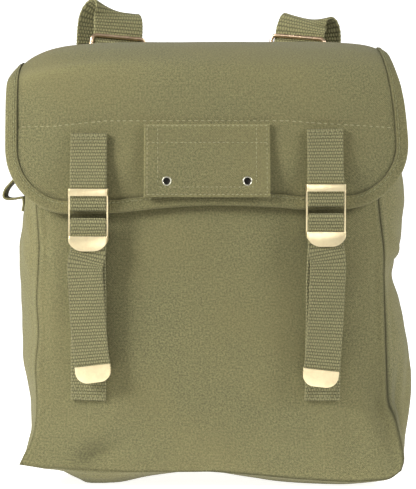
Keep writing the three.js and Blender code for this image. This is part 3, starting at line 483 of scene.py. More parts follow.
def add(tree, kind, settings=None, sockets=(), out=0):
    """Adds a node: its settings first, then its sockets, by place or by name, as values or links."""
    node = tree.nodes.new(kind)
    for name, value in (settings or {}).items():
        setattr(node, name, value)
    pairs = sockets.items() if isinstance(sockets, dict) else enumerate(sockets)
    for name, value in pairs:
        if isinstance(value, Wire):
            tree.links.new(value.socket, node.inputs[name])
        else:
            node.inputs[name].default_value = value
    return Wire(tree, node.outputs[out])


class Paint:
    """A material with its Principled shader, its pattern coordinates and its usual nodes."""

    def __init__(self, name, **constants):
        self.material = bpy.data.materials.new(name)
        self.material.use_nodes = True
        self.tree = self.material.node_tree
        self.shader = self.tree.nodes["Principled BSDF"]
        for socket, value in constants.items():
            self.shader.inputs[socket.replace("_", " ")].default_value = value

    def pattern(self):
        """Pattern coordinates of the cloth in metres: across, along, and both as a vector."""
        uv = add(self.tree, "ShaderNodeUVMap", {"uv_map": "cloth"})
        across = add(self.tree, "ShaderNodeSeparateXYZ", sockets=[uv])
        along = Wire(self.tree, across.socket.node.outputs[1])
        return across, along, uv

    def place(self):
        """Object coordinates in metres."""
        return add(self.tree, "ShaderNodeTexCoord", out="Object")

    def mark(self, name):
        return add(self.tree, "ShaderNodeAttribute", {"attribute_name": name}, out="Fac")

    def join(self, x, y, z=0.0):
        return add(self.tree, "ShaderNodeCombineXYZ", sockets=[x, y, z])

    def noise(self, vector, scale, detail=2.0, rough=0.5):
        sockets = {"Vector": vector, "Scale": scale, "Detail": detail, "Roughness": rough}
        return add(self.tree, "ShaderNodeTexNoise", sockets=sockets, out="Fac")

    def step(self, value, low, high):
        """Smooth step of a value from 0 at low to 1 at high."""
        sockets = {"Value": value, "From Min": low, "From Max": high}
        return add(self.tree, "ShaderNodeMapRange", {"interpolation_type": "SMOOTHSTEP"}, sockets)

    def blend(self, share, first, second, how="MIX"):
        """Colour between two colours, each a Wire or red, green and blue."""
        solid = [c if isinstance(c, Wire) else (*c, 1) for c in (first, second)]
        node = self.tree.nodes.new("ShaderNodeMix")
        node.data_type = "RGBA"
        node.blend_type = how
        node.clamp_factor = True
        for socket, value in zip((node.inputs[0], node.inputs[6], node.inputs[7]), (share, *solid)):
            if isinstance(value, Wire):
                self.tree.links.new(value.socket, socket)
            else:
                socket.default_value = value
        return Wire(self.tree, node.outputs[2])

    def finish(self, colour, rough, height, depth, metallic=None):
        """Feeds the shader: colour, roughness and the relief's height times its depth in metres."""
        self.tree.links.new(colour.socket, self.shader.inputs["Base Color"])
        self.tree.links.new(rough.socket, self.shader.inputs["Roughness"])
        relief = {"Height": height, "Distance": depth, "Strength": 1.0}
        bump = add(self.tree, "ShaderNodeBump", sockets=relief)
        self.tree.links.new(bump.socket, self.shader.inputs["Normal"])
        if metallic:
            self.tree.links.new(metallic.socket, self.shader.inputs["Metallic"])
        return self.material


CLOTH_SHEEN = {"Sheen_Weight": 0.05, "Sheen_Roughness": 0.5, "Specular_IOR_Level": 0.25}


def shade(tone, *shares):
    """A colour times one share, or times one each for its red, green and blue."""
    return tuple(c * share for c, share in zip(tone, shares if len(shares) == 3 else 3 * shares))


def canvas_paint(name, tone, thread=0.85, seed=0.0, fleck=1.0):
    """Plain-woven cotton: threads over and under each other, slubs that run along the threads, flecks,
    a slow change of tone, pale wear and a painted highlight from its wear mark, and painted shade in the
    seams, dents, a fold and beside the binding from its shade mark."""
    paint = Paint(name, **CLOTH_SHEEN)
    across, along, uv = paint.pattern()
    turn = 1000 * math.pi / thread
    wobble = paint.noise(uv, 260, 2) * 0.9
    over = (across * turn + wobble).sine()
    under = (along * turn + wobble).sine()
    weave = over * under
    warp = paint.noise(paint.join(across * 1900, along * 260, seed), 1.0, 3, 0.6)
    weft = paint.noise(paint.join(across * 240, along * 1900, seed + 7), 1.0, 3, 0.6)
    grain = paint.noise(paint.join(across * 820, along * 820, seed + 3), 1.0, 3, 0.65)
    slub = paint.step(warp.most(weft), 0.52, 0.78)
    pits = paint.step(grain, 0.34, 0.68)
    slow = paint.noise(paint.join(across, along, seed), 14, 3, 0.55)
    patch = paint.noise(paint.join(across, along, seed + 2), 55, 3, 0.6)
    dark = shade(tone, 0.56)
    light = shade(tone, 1.5, 1.49, 1.48)
    colour = paint.blend(pits * 0.72 * fleck + slub * 0.45 * fleck, dark, light)
    warm = shade(tone, 1.12, 1.02, 0.92)
    colour = paint.blend(paint.step(slow, 0.3, 0.7) * 0.35, colour, warm)
    colour = paint.blend(paint.step(patch, 0.35, 0.7) * 0.14, colour, shade(tone, 0.8))
    # Paler where the wear mark is high: real wear, and on the flap a painted highlight along the fold at the
    # top of the front
    lightened = paint.mark("wear_and_highlight") * (0.45 + 0.7 * pits)
    colour = paint.blend(lightened.clip(0, 0.75), colour, shade(tone, 1.65, 1.6, 1.55))
    # Painted shade: darker where the shade mark is high, in seam grooves, dents, a gusset fold and beside the
    # binding
    colour = paint.blend((paint.mark("painted_shade") * 0.85).clip(), colour, shade(tone, 0.3))
    height = weave * 0.5 + warp * 0.5 + weft * 0.5 + grain * 0.9
    rough = 0.86 + 0.1 * grain
    return paint.finish(colour, rough, height, 0.00022)


def webbing_paint(name, tone, pitch=2.2, cord=1.7):
    """Heavy cotton webbing: rows of weft under warp cords that step half a cord from row to row, with a
    painted highlight on top of the cords and painted shade between them, and a little fluff."""
    paint = Paint(name, **CLOTH_SHEEN)
    across, along, uv = paint.pattern()
    drift = paint.noise(uv, 150, 2) * 0.0005
    row = (along + drift) * (1000 / pitch)
    number = row.whole()
    ridge = ((row * math.pi).sine()).size()
    shift = (number * 0.5).maths("FRACT")
    cords = (((across + drift) * (1000 / cord) + shift) * math.pi).sine().size()
    knuckle = (ridge ** 0.7) * (0.25 + 0.75 * cords)
    fluff = paint.noise(paint.join(across * 900, along * 900, 1.0), 1.0, 3, 0.7)
    slow = paint.noise(uv, 30, 3)
    # The dark and light ends of the cords: painted shade between them and a painted highlight on top
    dark = shade(tone, 0.36)
    light = shade(tone, 1.85, 1.82, 1.76)
    share = (knuckle * 0.95 + (fluff - 0.5) * 1.1).clip()
    colour = paint.blend(share, dark, light)
    colour = paint.blend(paint.step(slow, 0.35, 0.7) * 0.25, colour, shade(tone, 0.85))
    pale = shade(tone, 1.7, 1.65, 1.6)
    colour = paint.blend((paint.mark("wear_and_highlight") * 0.5).clip(), colour, pale)
    height = knuckle + fluff * 0.35
    return paint.finish(colour, 0.84 + 0.12 * fluff, height, 0.00045)


def thread_paint(name, tone):
    """Twisted sewing thread: fine slanted plies, a little tone from stitch to stitch."""
    paint = Paint(name, **CLOTH_SHEEN)
    across, along, _ = paint.pattern()
    plies = ((across * 5200 + along * 9000).sine() * 0.5 + 0.5)
    tint = paint.noise(paint.place(), 160, 2)
    colour = paint.blend(plies * 0.5 + tint * 0.5, shade(tone, 0.7), shade(tone, 1.25))
    return paint.finish(colour, 0.7 + 0.2 * tint, plies, 0.00008)


def metal_paint(name, bright, worn, low, high):
    """Plated metal: fine scratches, dull clouds in the polish, a worn, darker tone in patches, and a
    roughness between low and high."""
    paint = Paint(name, Metallic=1.0)
    place = paint.place()
    split = add(paint.tree, "ShaderNodeSeparateXYZ", sockets=[place])
    x, y, z = (Wire(paint.tree, split.socket.node.outputs[i]) for i in range(3))
    clouds = paint.noise(place, 240, 4, 0.6)
    marks = paint.noise(paint.join(x * 3200, y * 3200, z * 260), 1.0, 3, 0.6)
    slant = paint.noise(paint.join((x + z) * 2600, y * 2600, (x - z) * 180), 1.0, 2, 0.6)
    scratch = paint.step(marks.most(slant), 0.6, 0.74)
    colour = paint.blend(paint.step(clouds, 0.38, 0.66) * 0.6 + scratch * 0.18, bright, worn)
    rough = low + (high - low) * clouds + scratch * 0.12
    height = clouds * 0.6 + scratch * -0.35
    return paint.finish(colour, rough, height, 0.00006)


# Lower values than the picture's, because the white surroundings light the cloth too
OLIVE = (0.150, 0.142, 0.066)
paints = {
    "canvas": canvas_paint("olive canvas", OLIVE),
    "flap": canvas_paint("olive canvas flap", OLIVE, seed=11.0),
    "tab": canvas_paint("olive canvas doubled", OLIVE, seed=5.0),
    "tape": canvas_paint("olive binding tape", shade(OLIVE, 0.95), 1.1, 21.0, 1.1),
    "webbing": webbing_paint("olive webbing", (0.145, 0.138, 0.070)),
    "shoulder": webbing_paint("olive shoulder webbing", (0.158, 0.151, 0.075), pitch=2.4, cord=2.0),
    "thread": thread_paint("pale khaki thread", (0.27, 0.25, 0.14)),
    "green_thread": thread_paint("olive thread", (0.20, 0.195, 0.10)),
    "brass": metal_paint("brushed brass", (0.98, 0.84, 0.52), (0.88, 0.71, 0.42), 0.24, 0.42),
    "wire": metal_paint("coppery wire", (0.84, 0.62, 0.43), (0.55, 0.36, 0.22), 0.2, 0.4),
}

# Panels


def side_seam(panel, side, up):
    """Seam of one side from the lower corner to the mouth, as x and z."""
    name = "back" if panel == "back" else "left" if side < 0 else "right"
    corner = BODY_HEIGHT * column(BOTTOM, "across", panel, 0 if side < 0 else 1)
    return side * HALF_BODY * column(SIDE, "up", name, up), corner + up * (BODY_HEIGHT - corner)


def bottom_seam(panel, across):
    """Seam of the bottom from the left corner to the right one, as x and z."""
    left, right = side_seam(panel, -1, 0.0)[0], side_seam(panel, 1, 0.0)[0]
    return left + (right - left) * across, BODY_HEIGHT * column(BOTTOM, "across", panel, across)


def dents(across, up, wider=1, higher=1, depths=DENTS["deep"]):
    """The front panel's dents, or their shade: a bell for each row of the table."""
    total = 0
    for k, depth in enumerate(depths):
        a = (across - DENTS["across"][k]) / (wider * DENTS["wide"][k])
        b = (up - DENTS["up"][k]) / (higher * DENTS["high"][k])
        total = total + depth * np.exp(-a * a - b * b)
    return total


def panel_point(panel, across, up):
    """A panel's surface: its border curves blended across and up, swollen by its crown times
    1 - |2 across - 1| ^ 4, and pressed in by bell-shaped dents."""
    xl, zl = side_seam(panel, -1, up)
    xr, zr = side_seam(panel, 1, up)
    low = bottom_seam(panel, across)[1]
    zl0, zr0 = side_seam(panel, -1, 0.0)[1], side_seam(panel, 1, 0.0)[1]
    x = xl + (xr - xl) * across
    z = zl + (zr - zl) * across + (low - zl0 - (zr0 - zl0) * across) * (1 - up)
    swell = column(CROWN, "up", panel, up) * (1 - np.abs(2 * across - 1) ** 4)
    if panel == "back":
        return stack(x, BODY_DEPTH / 2 + BACK_CROWN * swell, z)
    swell = swell - dents(across, up) * np.minimum(1, 30 * across * (1 - across) * up)
    return stack(x, -BODY_DEPTH / 2 - FRONT_CROWN * swell, z)


def on_panel(panel, x, z, off=0.0):
    """The point of a panel at a given x and z, moved out of the bag, with the panel's direction across."""
    across = up = 0.5
    for _ in range(14):
        p = panel_point(panel, across, up)
        across += (x - p[0]) / BODY_WIDTH
        up += (z - p[2]) / BODY_HEIGHT
    step = 0.004
    flat = unit(panel_point(panel, across + step, up) - panel_point(panel, across - step, up))
    rise = unit(panel_point(panel, across, up + step) - panel_point(panel, across, up - step))
    out = unit(np.cross(flat, rise))
    if panel == "back":
        out = -out
    return panel_point(panel, across, up) + off * out, flat


def seam_distance(across, up):
    """Distance to the nearest sewn border of a panel, in millimetres."""
    sides = np.minimum(across, 1 - across) * BODY_WIDTH
    return np.minimum(sides, up * BODY_HEIGHT)


def add_panel(panel, columns, lines):
    """A panel of cloth: a welt stands up beside the seam and dives into it, with folds and puckers."""
    t = np.linspace(0, 1, columns)
    across = (t - 0.35 / (2 * math.pi) * np.sin(4 * math.pi * t) / 2)[None, :]
    v = np.linspace(0, 1, lines)
    up = (v ** 1.12)[:, None]
    across, up = np.broadcast_arrays(across, up)
    grid = panel_point(panel, across, up)
    x, z = across * BODY_WIDTH, up * BODY_HEIGHT
    d = seam_distance(across, up)
    inner = np.clip(d / 10, 0, 1)
    away = 1 if panel == "back" else -1
    pucker = ripple(x, z, 9, 5, 2) * bell(d, 5, 5) * 0.25
    welt = 0.25 * bell(d, 2.8, 1.6) - 0.12 * bell(d, 5.6, 1.4) - 0.5 * bell(d, 0, 0.9)
    slow = ripple(x, z, 95, 3 if panel == "front" else 8, 3)
    relief = welt + pucker + slow * 0.55 * inner
    if panel == "front":
        relief = relief + folds(FRONT_FOLDS, x, z, (BODY_WIDTH, BODY_HEIGHT)) * inner
    grid[..., 1] += away * relief
    from_side = np.minimum(across, 1 - across) * BODY_WIDTH
    grid[..., 0] += np.sign(0.5 - across) * (GAP / 2) * bell(from_side, 0, 1)
    uv = stack(x, z)
    lightened = np.clip(ripple(x, z, 60, 9), 0, 1)
    wear_and_highlight = 0.08 * bell(d, 2.6, 1.3) + 0.12 * lightened
    # Painted shade in the seam groove, stronger on the right side, away from the brighter lamp, and over the
    # dents of the front panel
    painted_shade = (0.35 + 0.4 * (across > 0.5)) * bell(d, 0, 1.3)
    if panel == "front":
        painted_shade = painted_shade + 0.32 * dents(across, up, 1.3, 1.2, (1, 1))
    marks = {"wear_and_highlight": wear_and_highlight, "painted_shade": painted_shade}
    faces = grid_faces(lines, columns)
    piece = new_mesh(f"canvas_{panel}_panel", grid, faces, paints["canvas"], uv, marks)
    thicken(piece, CANVAS)
    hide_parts(f"{panel}_panel")


# Gusset

SIDE_STATIONS = 16
STATION_SHARE = 0.18  # length of a station as a share of the gusset's width
STATION_POWER = 1.3  # sets the side stations closer together near the floor


def station_places(q):
    """Shares up the left seam, across the bottom one and up the right one at stations 0 to 48."""
    down = np.clip((SIDE_STATIONS - q) / SIDE_STATIONS, 0, 1) ** STATION_POWER
    rise = np.clip((q - 2 * SIDE_STATIONS) / SIDE_STATIONS, 0, 1) ** STATION_POWER
    return down, np.clip((q - SIDE_STATIONS) / SIDE_STATIONS, 0, 1), rise


def station_seam(panel, q):
    """Seam of a panel at its stations: down the left side, along the bottom and up the right."""
    down, across, rise = station_places(q)
    left, low, right = side_seam(panel, -1, down), bottom_seam(panel, across), side_seam(panel, 1, rise)
    pick = [q <= SIDE_STATIONS, q < 2 * SIDE_STATIONS]
    y = BODY_DEPTH / 2 if panel == "back" else -BODY_DEPTH / 2
    x, z = (np.select(pick, [left[i], low[i]], right[i]) for i in (0, 1))
    return stack(x, y, z)


def station_swell(q):
    """How far the gusset stands out at a station."""
    down, across, rise = station_places(q)
    left = column(SIDE, "up", "swell_left", down)
    right = column(SIDE, "up", "swell_right", rise)
    pick = [q < SIDE_STATIONS, q <= 2 * SIDE_STATIONS]
    return BODY_DEPTH * np.select(pick, [left, column(BOTTOM, "across", "drop", across)], right)


def station_out(panel, q):
    """Direction out of the bag in the seam's plane, eased between the stations."""
    whole = np.arange(3 * SIDE_STATIONS + 1.0)
    seam = station_seam(panel, whole)
    run = np.vstack([seam[1] - seam[0], seam[2:] - seam[:-2], seam[-1] - seam[-2]])
    out = unit(stack(run[:, 2], 0, -run[:, 0]))
    return unit(np.stack([np.interp(q, whole, out[:, i]) for i in range(3)], -1))


def gusset_point(q, share):
    """The gusset's surface: straight from seam to seam, swollen out by its swell times
    1 - |2 share - 1| ^ 2.4, and flat on the floor."""
    q, share = np.broadcast_arrays(np.asarray(q, float), np.asarray(share, float))
    s = share[..., None]
    front, back = station_seam("front", q), station_seam("back", q)
    out = unit(station_out("front", q) * (1 - s) + station_out("back", q) * s)
    point = front * (1 - s) + back * s
    point = point + out * (station_swell(q) * (1 - np.abs(2 * share - 1) ** 2.4))[..., None]
    point[..., 2] = np.maximum(point[..., 2], 0)
    return point


def add_gusset():
    """The gusset's cloth: welts at both seams, and folds where the sides buckle."""
    lines, columns = 460, 64
    q = np.linspace(0, 3 * SIDE_STATIONS, lines)[:, None]
    t = np.linspace(0, 1, columns)
    share = (t - 0.5 / (2 * math.pi) * np.sin(2 * math.pi * t))[None, :]
    q, share = np.broadcast_arrays(q, share)
    grid = gusset_point(q, share)
    length = travelled(grid[:, columns // 2])[:, None]
    d = np.minimum(share, 1 - share) * BODY_DEPTH
    out = normals(grid)
    if np.sum(out * (grid - BAG_MIDDLE)) < 0:
        out = -out
    out[..., 2] *= np.clip(grid[..., 2] / 6, 0, 1)
    inner = np.clip(d / 8, 0, 1)
    crease = folds(GUSSET_FOLDS, q * STATION_SHARE, share, (STATION_SHARE, 1), 0.1)
    slow = ripple(length + 0 * share, share * BODY_DEPTH, 60, 12, 3) * 0.7 * inner
    relief = 0.25 * bell(d, 2.6, 1.5) - 0.12 * bell(d, 5.2, 1.3) + slow + crease * inner
    grid = grid + out * relief[..., None]
    grid[..., 2] = np.maximum(grid[..., 2], 0.0)
    uv = stack(share * BODY_DEPTH, length + 0 * share)
    right = q > 1.5 * SIDE_STATIONS
    # Painted shade in the seam grooves, stronger on the right side, and a painted shadow in the fold beside
    # the front seam low on the right side
    painted_shade = (0.4 + 0.4 * right) * bell(d, 0, 1.3) + 0.55 * bell(q, 36, 1.6) * bell(share, 0.05, 0.06)
    marks = {"wear_and_highlight": 0.08 * bell(d, 2.6, 1.3), "painted_shade": painted_shade}
    faces = grid_faces(lines, columns)
    piece = new_mesh("canvas_gusset", grid, faces, paints["canvas"], uv, marks)
    thicken(piece, CANVAS)
    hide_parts("gusset")


# Flap


def route(points, at):
    """Smooth curve through points, at places counted in spans from 0: a cubic in each span, with
    slopes weighed by the square roots of the distances."""
    p = np.asarray(points, float)
    ends = np.vstack([2 * p[0] - p[1], p, 2 * p[-1] - p[-2]])
    at = np.asarray(at, float)
    i = np.clip(np.floor(at).astype(int), 0, len(p) - 2)
    w = (at - i)[:, None]
    p0, p1, p2, p3 = (ends[i + k] for k in range(4))

    def root(a, b):
        return np.maximum(np.linalg.norm(a - b, axis=1), 1e-8)[:, None] ** 0.5

    t0, t1, t2 = root(p0, p1), root(p1, p2), root(p2, p3)
    m1 = ((p1 - p0) / t0 - (p2 - p0) / (t0 + t1) + (p2 - p1) / t1) * t1
    m2 = ((p2 - p1) / t1 - (p3 - p1) / (t1 + t2) + (p3 - p2) / t2) * t1
    return p1 + m1 * w + (3 * (p2 - p1) - 2 * m1 - m2) * w**2 + (2 * (p1 - p2) + m1 + m2) * w**3


flap_place = np.linspace(0, len(FLAP["up"]) - 1, 5200)
flap_line = route(np.column_stack([FLAP["back"] * BODY_DEPTH, FLAP["up"] * BODY_HEIGHT]), flap_place)
flap_run = unit(np.gradient(flap_line, axis=0))
flap_length = travelled(flap_line)
PROFILE = flap_length[-1]
FLAP["place"] = np.arange(len(FLAP["up"]), dtype=float)


def flap_base(across, along):
    """The flap's underside: a profile from the sewn edge over the mouth and down the front, whose sides
    droop by droop * |across / half width| ^ sharp and come in to keep the cloth's width. The right one
    comes in further by narrow * (across / half width) ^ 2."""
    across, along = np.broadcast_arrays(np.asarray(across, float), np.asarray(along, float))
    inside = np.clip(along, 0, PROFILE)
    y, z = (np.interp(inside, flap_length, flap_line[:, i]) for i in (0, 1))
    ry, rz = (np.interp(inside, flap_length, flap_run[:, i]) for i in (0, 1))
    place = np.interp(inside, flap_length, flap_place)
    y, z = y + ry * (along - inside), z + rz * (along - inside)
    left = across < 0

    def by_side(name):
        return np.where(left, *(column(FLAP, "place", f"{name}_{end}", place) for end in ("left", "right")))

    droop = BODY_DEPTH * by_side("droop")
    sharp = by_side("sharp")
    u = np.abs(across) / HALF_FLAP
    pull = (droop * sharp) ** 2 * u ** (2 * sharp - 1) / (2 * (2 * sharp - 1) * HALF_FLAP)
    pull = pull + np.where(left, 0, BODY_DEPTH * column(FLAP, "place", "narrow", place) * u * u)
    down = droop * u**sharp
    return stack(across - np.sign(across) * pull, y - rz * down, z + ry * down)


def on_flap(across, along, off=0.0):
    """A point over the flap's underside, with the flap's directions across, along and out."""
    step = 0.5
    flat = unit(flap_base(across + step, along) - flap_base(across - step, along))
    run = unit(flap_base(across, along + step) - flap_base(across, along - step))
    out = unit(np.cross(run, flat))
    return flap_base(across, along) + np.asarray(off)[..., None] * out, flat, run, out


front_half = flap_length > PROFILE / 2
front_z = flap_line[front_half, 1]
front_along = flap_length[front_half]


def along_at(z):
    """Distance along the flap at which the front of its middle is at a given height."""
    return np.interp(-np.asarray(z, float), -front_z, front_along)


def along_back(z):
    """Distance along the flap at which the back of its middle is at a given height."""
    rising = flap_length < PROFILE / 4
    return np.interp(z, flap_line[rising, 1], flap_length[rising])


def edge_along(across):
    """Distance along the flap to its lower edge, with an arc at each corner."""
    across = np.asarray(across, float)
    height = BODY_HEIGHT * column(EDGE, "across", "up", across / HALF_FLAP)
    past = np.clip(np.abs(across) - (HALF_FLAP - FLAP_CORNER), 0, FLAP_CORNER)
    return along_at(height) - (FLAP_CORNER - np.sqrt(FLAP_CORNER**2 - past**2))


def flap_relief(across, along):
    """Height of the cloth over its smooth form: folds, a slow unevenness, and a furrow at the stitches."""
    slow = ripple(across, along, 110, 21, 3) * 0.42 + ripple(across, along, 30, 4, 2) * 0.07
    furrow = bell(along, stitch_along(across), 1.3)
    pucker = ripple(across, along, 8, 17, 2) * bell(along, stitch_along(across), 5)
    calm = np.clip((HALF_FLAP - np.abs(across)) / 14, 0, 1) * np.clip(along / 40, 0, 1)
    return RISE + (folds(FLAP_FOLDS, across, along) + slow) * calm - 0.4 * furrow + 0.16 * pucker


def stitch_along(across):
    """Place along the flap of the row of stitches across it."""
    share = np.asarray(across, float) / HALF_FLAP
    height = np.interp(share, [-1, -0.75, -0.5, 0.4, 0.55, 1], [250.9, 251.1, 254.5, 254.5, 252.9, 249.9])
    return along_at(height)


def edge_distance(across, along):
    """Distance to the flap's border, with arcs at the corners."""
    past = np.abs(across) - (HALF_FLAP - FLAP_CORNER)
    base = along_at(BODY_HEIGHT * column(EDGE, "across", "up", across / HALF_FLAP))
    below = along - (base - FLAP_CORNER)
    straight = np.minimum(HALF_FLAP - np.abs(across), base - along)
    return np.where((past > 0) & (below > 0), FLAP_CORNER - np.hypot(past, below), straight)


def edge_places(turns, count):
    """Places across the flap along its lower edge: even angles round the corners, even steps between."""
    straight = HALF_FLAP - FLAP_CORNER
    corner = -straight - FLAP_CORNER * np.cos(np.linspace(0, math.pi / 2, turns)[:-1])
    return np.concatenate([corner, np.linspace(-straight, straight, count), -corner[::-1]])


def add_flap():
    """The flap's cloth from its sewn edge behind to the curved lower edge in front."""
    across = edge_places(22, 134)[None, :]
    straight = min(edge_along(-HALF_FLAP), edge_along(HALF_FLAP)) - FLAP_CORNER / 4
    upper = np.linspace(0, straight, 200)[:, None] + 0 * across
    share = np.linspace(0, 1, 36)[1:, None]
    hem = straight + (edge_along(across) - straight) * share
    along = np.vstack([upper, hem])
    across = np.broadcast_to(across, along.shape)
    grid = on_flap(across, along, CANVAS + flap_relief(across, along))[0]
    uv = stack(across, along)
    # Painted highlight on the left part of the fold at the top of the front, towards the brighter lamp;
    # painted shade beside the binding's inner edge
    wear_and_highlight = 0.3 * bell(along, 146, 7) * np.clip(-across / 120, 0, 1)
    marks = {"wear_and_highlight": wear_and_highlight, "painted_shade": 0.5 * bell(edge_distance(across, along), BINDING_BAND + 0.5, 1.1)}
    piece = new_mesh("canvas_flap", grid, grid_faces(*along.shape), paints["flap"], uv, marks)
    thicken(piece, CANVAS)
    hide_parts("flap")
    flat = (FLAP_WIDTH / 1000, float(edge_along(0.0)) / 1000)


def flap_border(step):
    """The flap's edge as places across and along: down the left, round the bottom and up the right."""
    straight = float(edge_along(-HALF_FLAP))
    left = np.arange(0, straight, step)
    bottom = edge_places(int(70 / step), int(187 / step))
    right = np.arange(0, float(edge_along(HALF_FLAP)), step)[::-1]
    across = np.concatenate([np.full(len(left), -HALF_FLAP), bottom, np.full(len(right), HALF_FLAP)])
    along = np.concatenate([left, edge_along(bottom), right])
    return np.column_stack([across, along])


def arc(middle, radius, start, end, count):
    """Points of an arc between two angles in degrees."""
    angle = np.radians(np.linspace(start, end, count))
    return np.column_stack([middle[0] + radius * np.cos(angle), middle[1] + radius * np.sin(angle)])


def add_binding():
    """Folded tape carried round the flap's edge: flat on both faces and rounded over the edge."""
    border = flap_border(1.1)
    run = unit(np.gradient(border, axis=0))
    for _ in range(3):
        run[1:-1] = (run[:-2] + 2 * run[1:-1] + run[2:]) / 4
    inward = unit(np.column_stack([run[:, 1], -run[:, 0]]))
    top = CANVAS + BINDING_GAP + BINDING + RISE
    low = -BINDING_GAP - BINDING
    half = (top - low) / 2
    over = np.column_stack([np.linspace(BINDING_BAND - 0.2, 1.3, 9), np.full(9, top)])
    over[:, 1] += np.array([-0.3, 0.02, -0.24, 0.0, 0.08, 0.1, 0.1, 0.06, 0.02])
    turn = arc((half - BINDING_GAP - BINDING, low + half), half, 90, 270, 11)
    under = np.column_stack([np.linspace(1.3, BINDING_BAND, 5), np.full(5, low)])
    back = np.array([[BINDING_BAND, -BINDING_GAP], [0.2, -BINDING_GAP], [-0.35, CANVAS / 2],
                     [0.2, CANVAS + BINDING_GAP], [BINDING_BAND, CANVAS + BINDING_GAP]])
    section = np.vstack([over, turn, under, back])
    place = border[:, None, :] + inward[:, None, :] * section[None, :, :1]
    off = np.broadcast_to(section[None, :, 1], place.shape[:2])
    length = travelled(border)[:, None]
    wave = ripple(length, section[None, :, 0] * 2, 22, 31, 2) * 0.16 * (off > CANVAS)
    grid = on_flap(place[..., 0], place[..., 1], off + wave)[0]
    along_section = travelled(section)[None, :]
    uv = stack((length + along_section) * 0.7071, (length - along_section) * 0.7071)
    edge = np.abs(section[:, 0] + BINDING_GAP + BINDING)[None, :] + 0 * length
    wear_and_highlight = 0.3 * bell(edge, 0, 1.5)
    faces = grid_faces(len(border), len(section), round_across=True)
    faces = close_ends(faces, len(border), len(section))
    piece = new_mesh("flap_binding_tape", grid, faces, paints["tape"], uv, {"wear_and_highlight": wear_and_highlight})
    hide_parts("flap_binding")


def close_ends(faces, count, around):
    """Adds four-cornered caps to both ends of a tube whose ring has an even number of points."""
    pairs = np.arange(around // 2 - 1)
    start = np.stack([pairs, pairs + 1, around - 2 - pairs, around - 1 - pairs], -1)
    end = (count - 1) * around + start[:, ::-1]
    return np.vstack([faces, start[:, ::-1], end[:, ::-1]])


# Webbing


def carry(points, across, width, thickness, step):
    """Webbing carried along a smooth route: its section is a flat rounded bar whose two edges are thick.
    Returns the grid, its pattern places and the edge marks."""
    points, across = np.asarray(points, float), np.asarray(across, float)
    spans = len(points) - 1
    sections = 34
    dense = np.linspace(0, spans, 200 * spans + 1)
    line = route(points, dense)
    length = travelled(line)
    count = max(int(length[-1] / step), 8)
    even = np.interp(np.linspace(0, length[-1], count), length, dense)
    line = route(points, even)
    i = np.clip(np.floor(even).astype(int), 0, spans - 1)
    share = (even - i)[:, None]
    side = unit(across[i] * (1 - share) + across[i + 1] * share)
    along = unit(np.gradient(line, axis=0))
    out = unit(np.cross(along, side))
    flat = unit(np.cross(out, along))
    half, r = width / 2, thickness / 2
    x = np.linspace(-half + r, half - r, sections)
    bar = np.vstack([
        np.column_stack([x, np.full(sections, r)]),
        arc((half - r, 0), r, 60, -60, 4),
        np.column_stack([x[::-1], np.full(sections, -r)]),
        arc((-half + r, 0), r, 240, 120, 4),
    ])
    u = np.clip(np.abs(bar[:, 0]) / half, 0, 1)
    bar[:, 1] *= 1 + 0.10 * bell(u, 0.93, 0.07)
    travel = np.linspace(0, length[-1], count)
    scallop = 0.16 * np.sin(2 * math.pi * travel / 2.2)[:, None] * (u > 0.97)[None, :]
    wander = ripple(travel, travel * 0, 46, int(width * 7), 2)[:, None] * 0.22
    waver = np.sign(bar[:, 0]) * scallop + wander
    grid = line[:, None, :] + flat[:, None, :] * (bar[None, :, :1] + waver[..., None])
    grid = grid + out[:, None, :] * bar[None, :, 1:]
    ring = travelled(bar)
    uv = stack(ring[None, :] + 0 * travel[:, None], travel[:, None] + 0 * ring[None, :])
    wear_and_highlight = 0.55 * bell(u, 1, 0.05)[None, :] + 0 * travel[:, None]
    return grid, uv, wear_and_highlight


def add_webbing(name, node, points, across, width, thickness, paint, step=0.9):
    """A strap: the webbing that stands for one node."""
    grid, uv, wear_and_highlight = carry(points, across, width, thickness, step)
    count, around = grid.shape[:2]
    faces = close_ends(grid_faces(count, around, round_across=True), count, around)
    piece = new_mesh(name, grid, faces, paint, uv, {"wear_and_highlight": wear_and_highlight}, grid.reshape(-1, 3).mean(0))
    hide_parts(node)


# Stitches


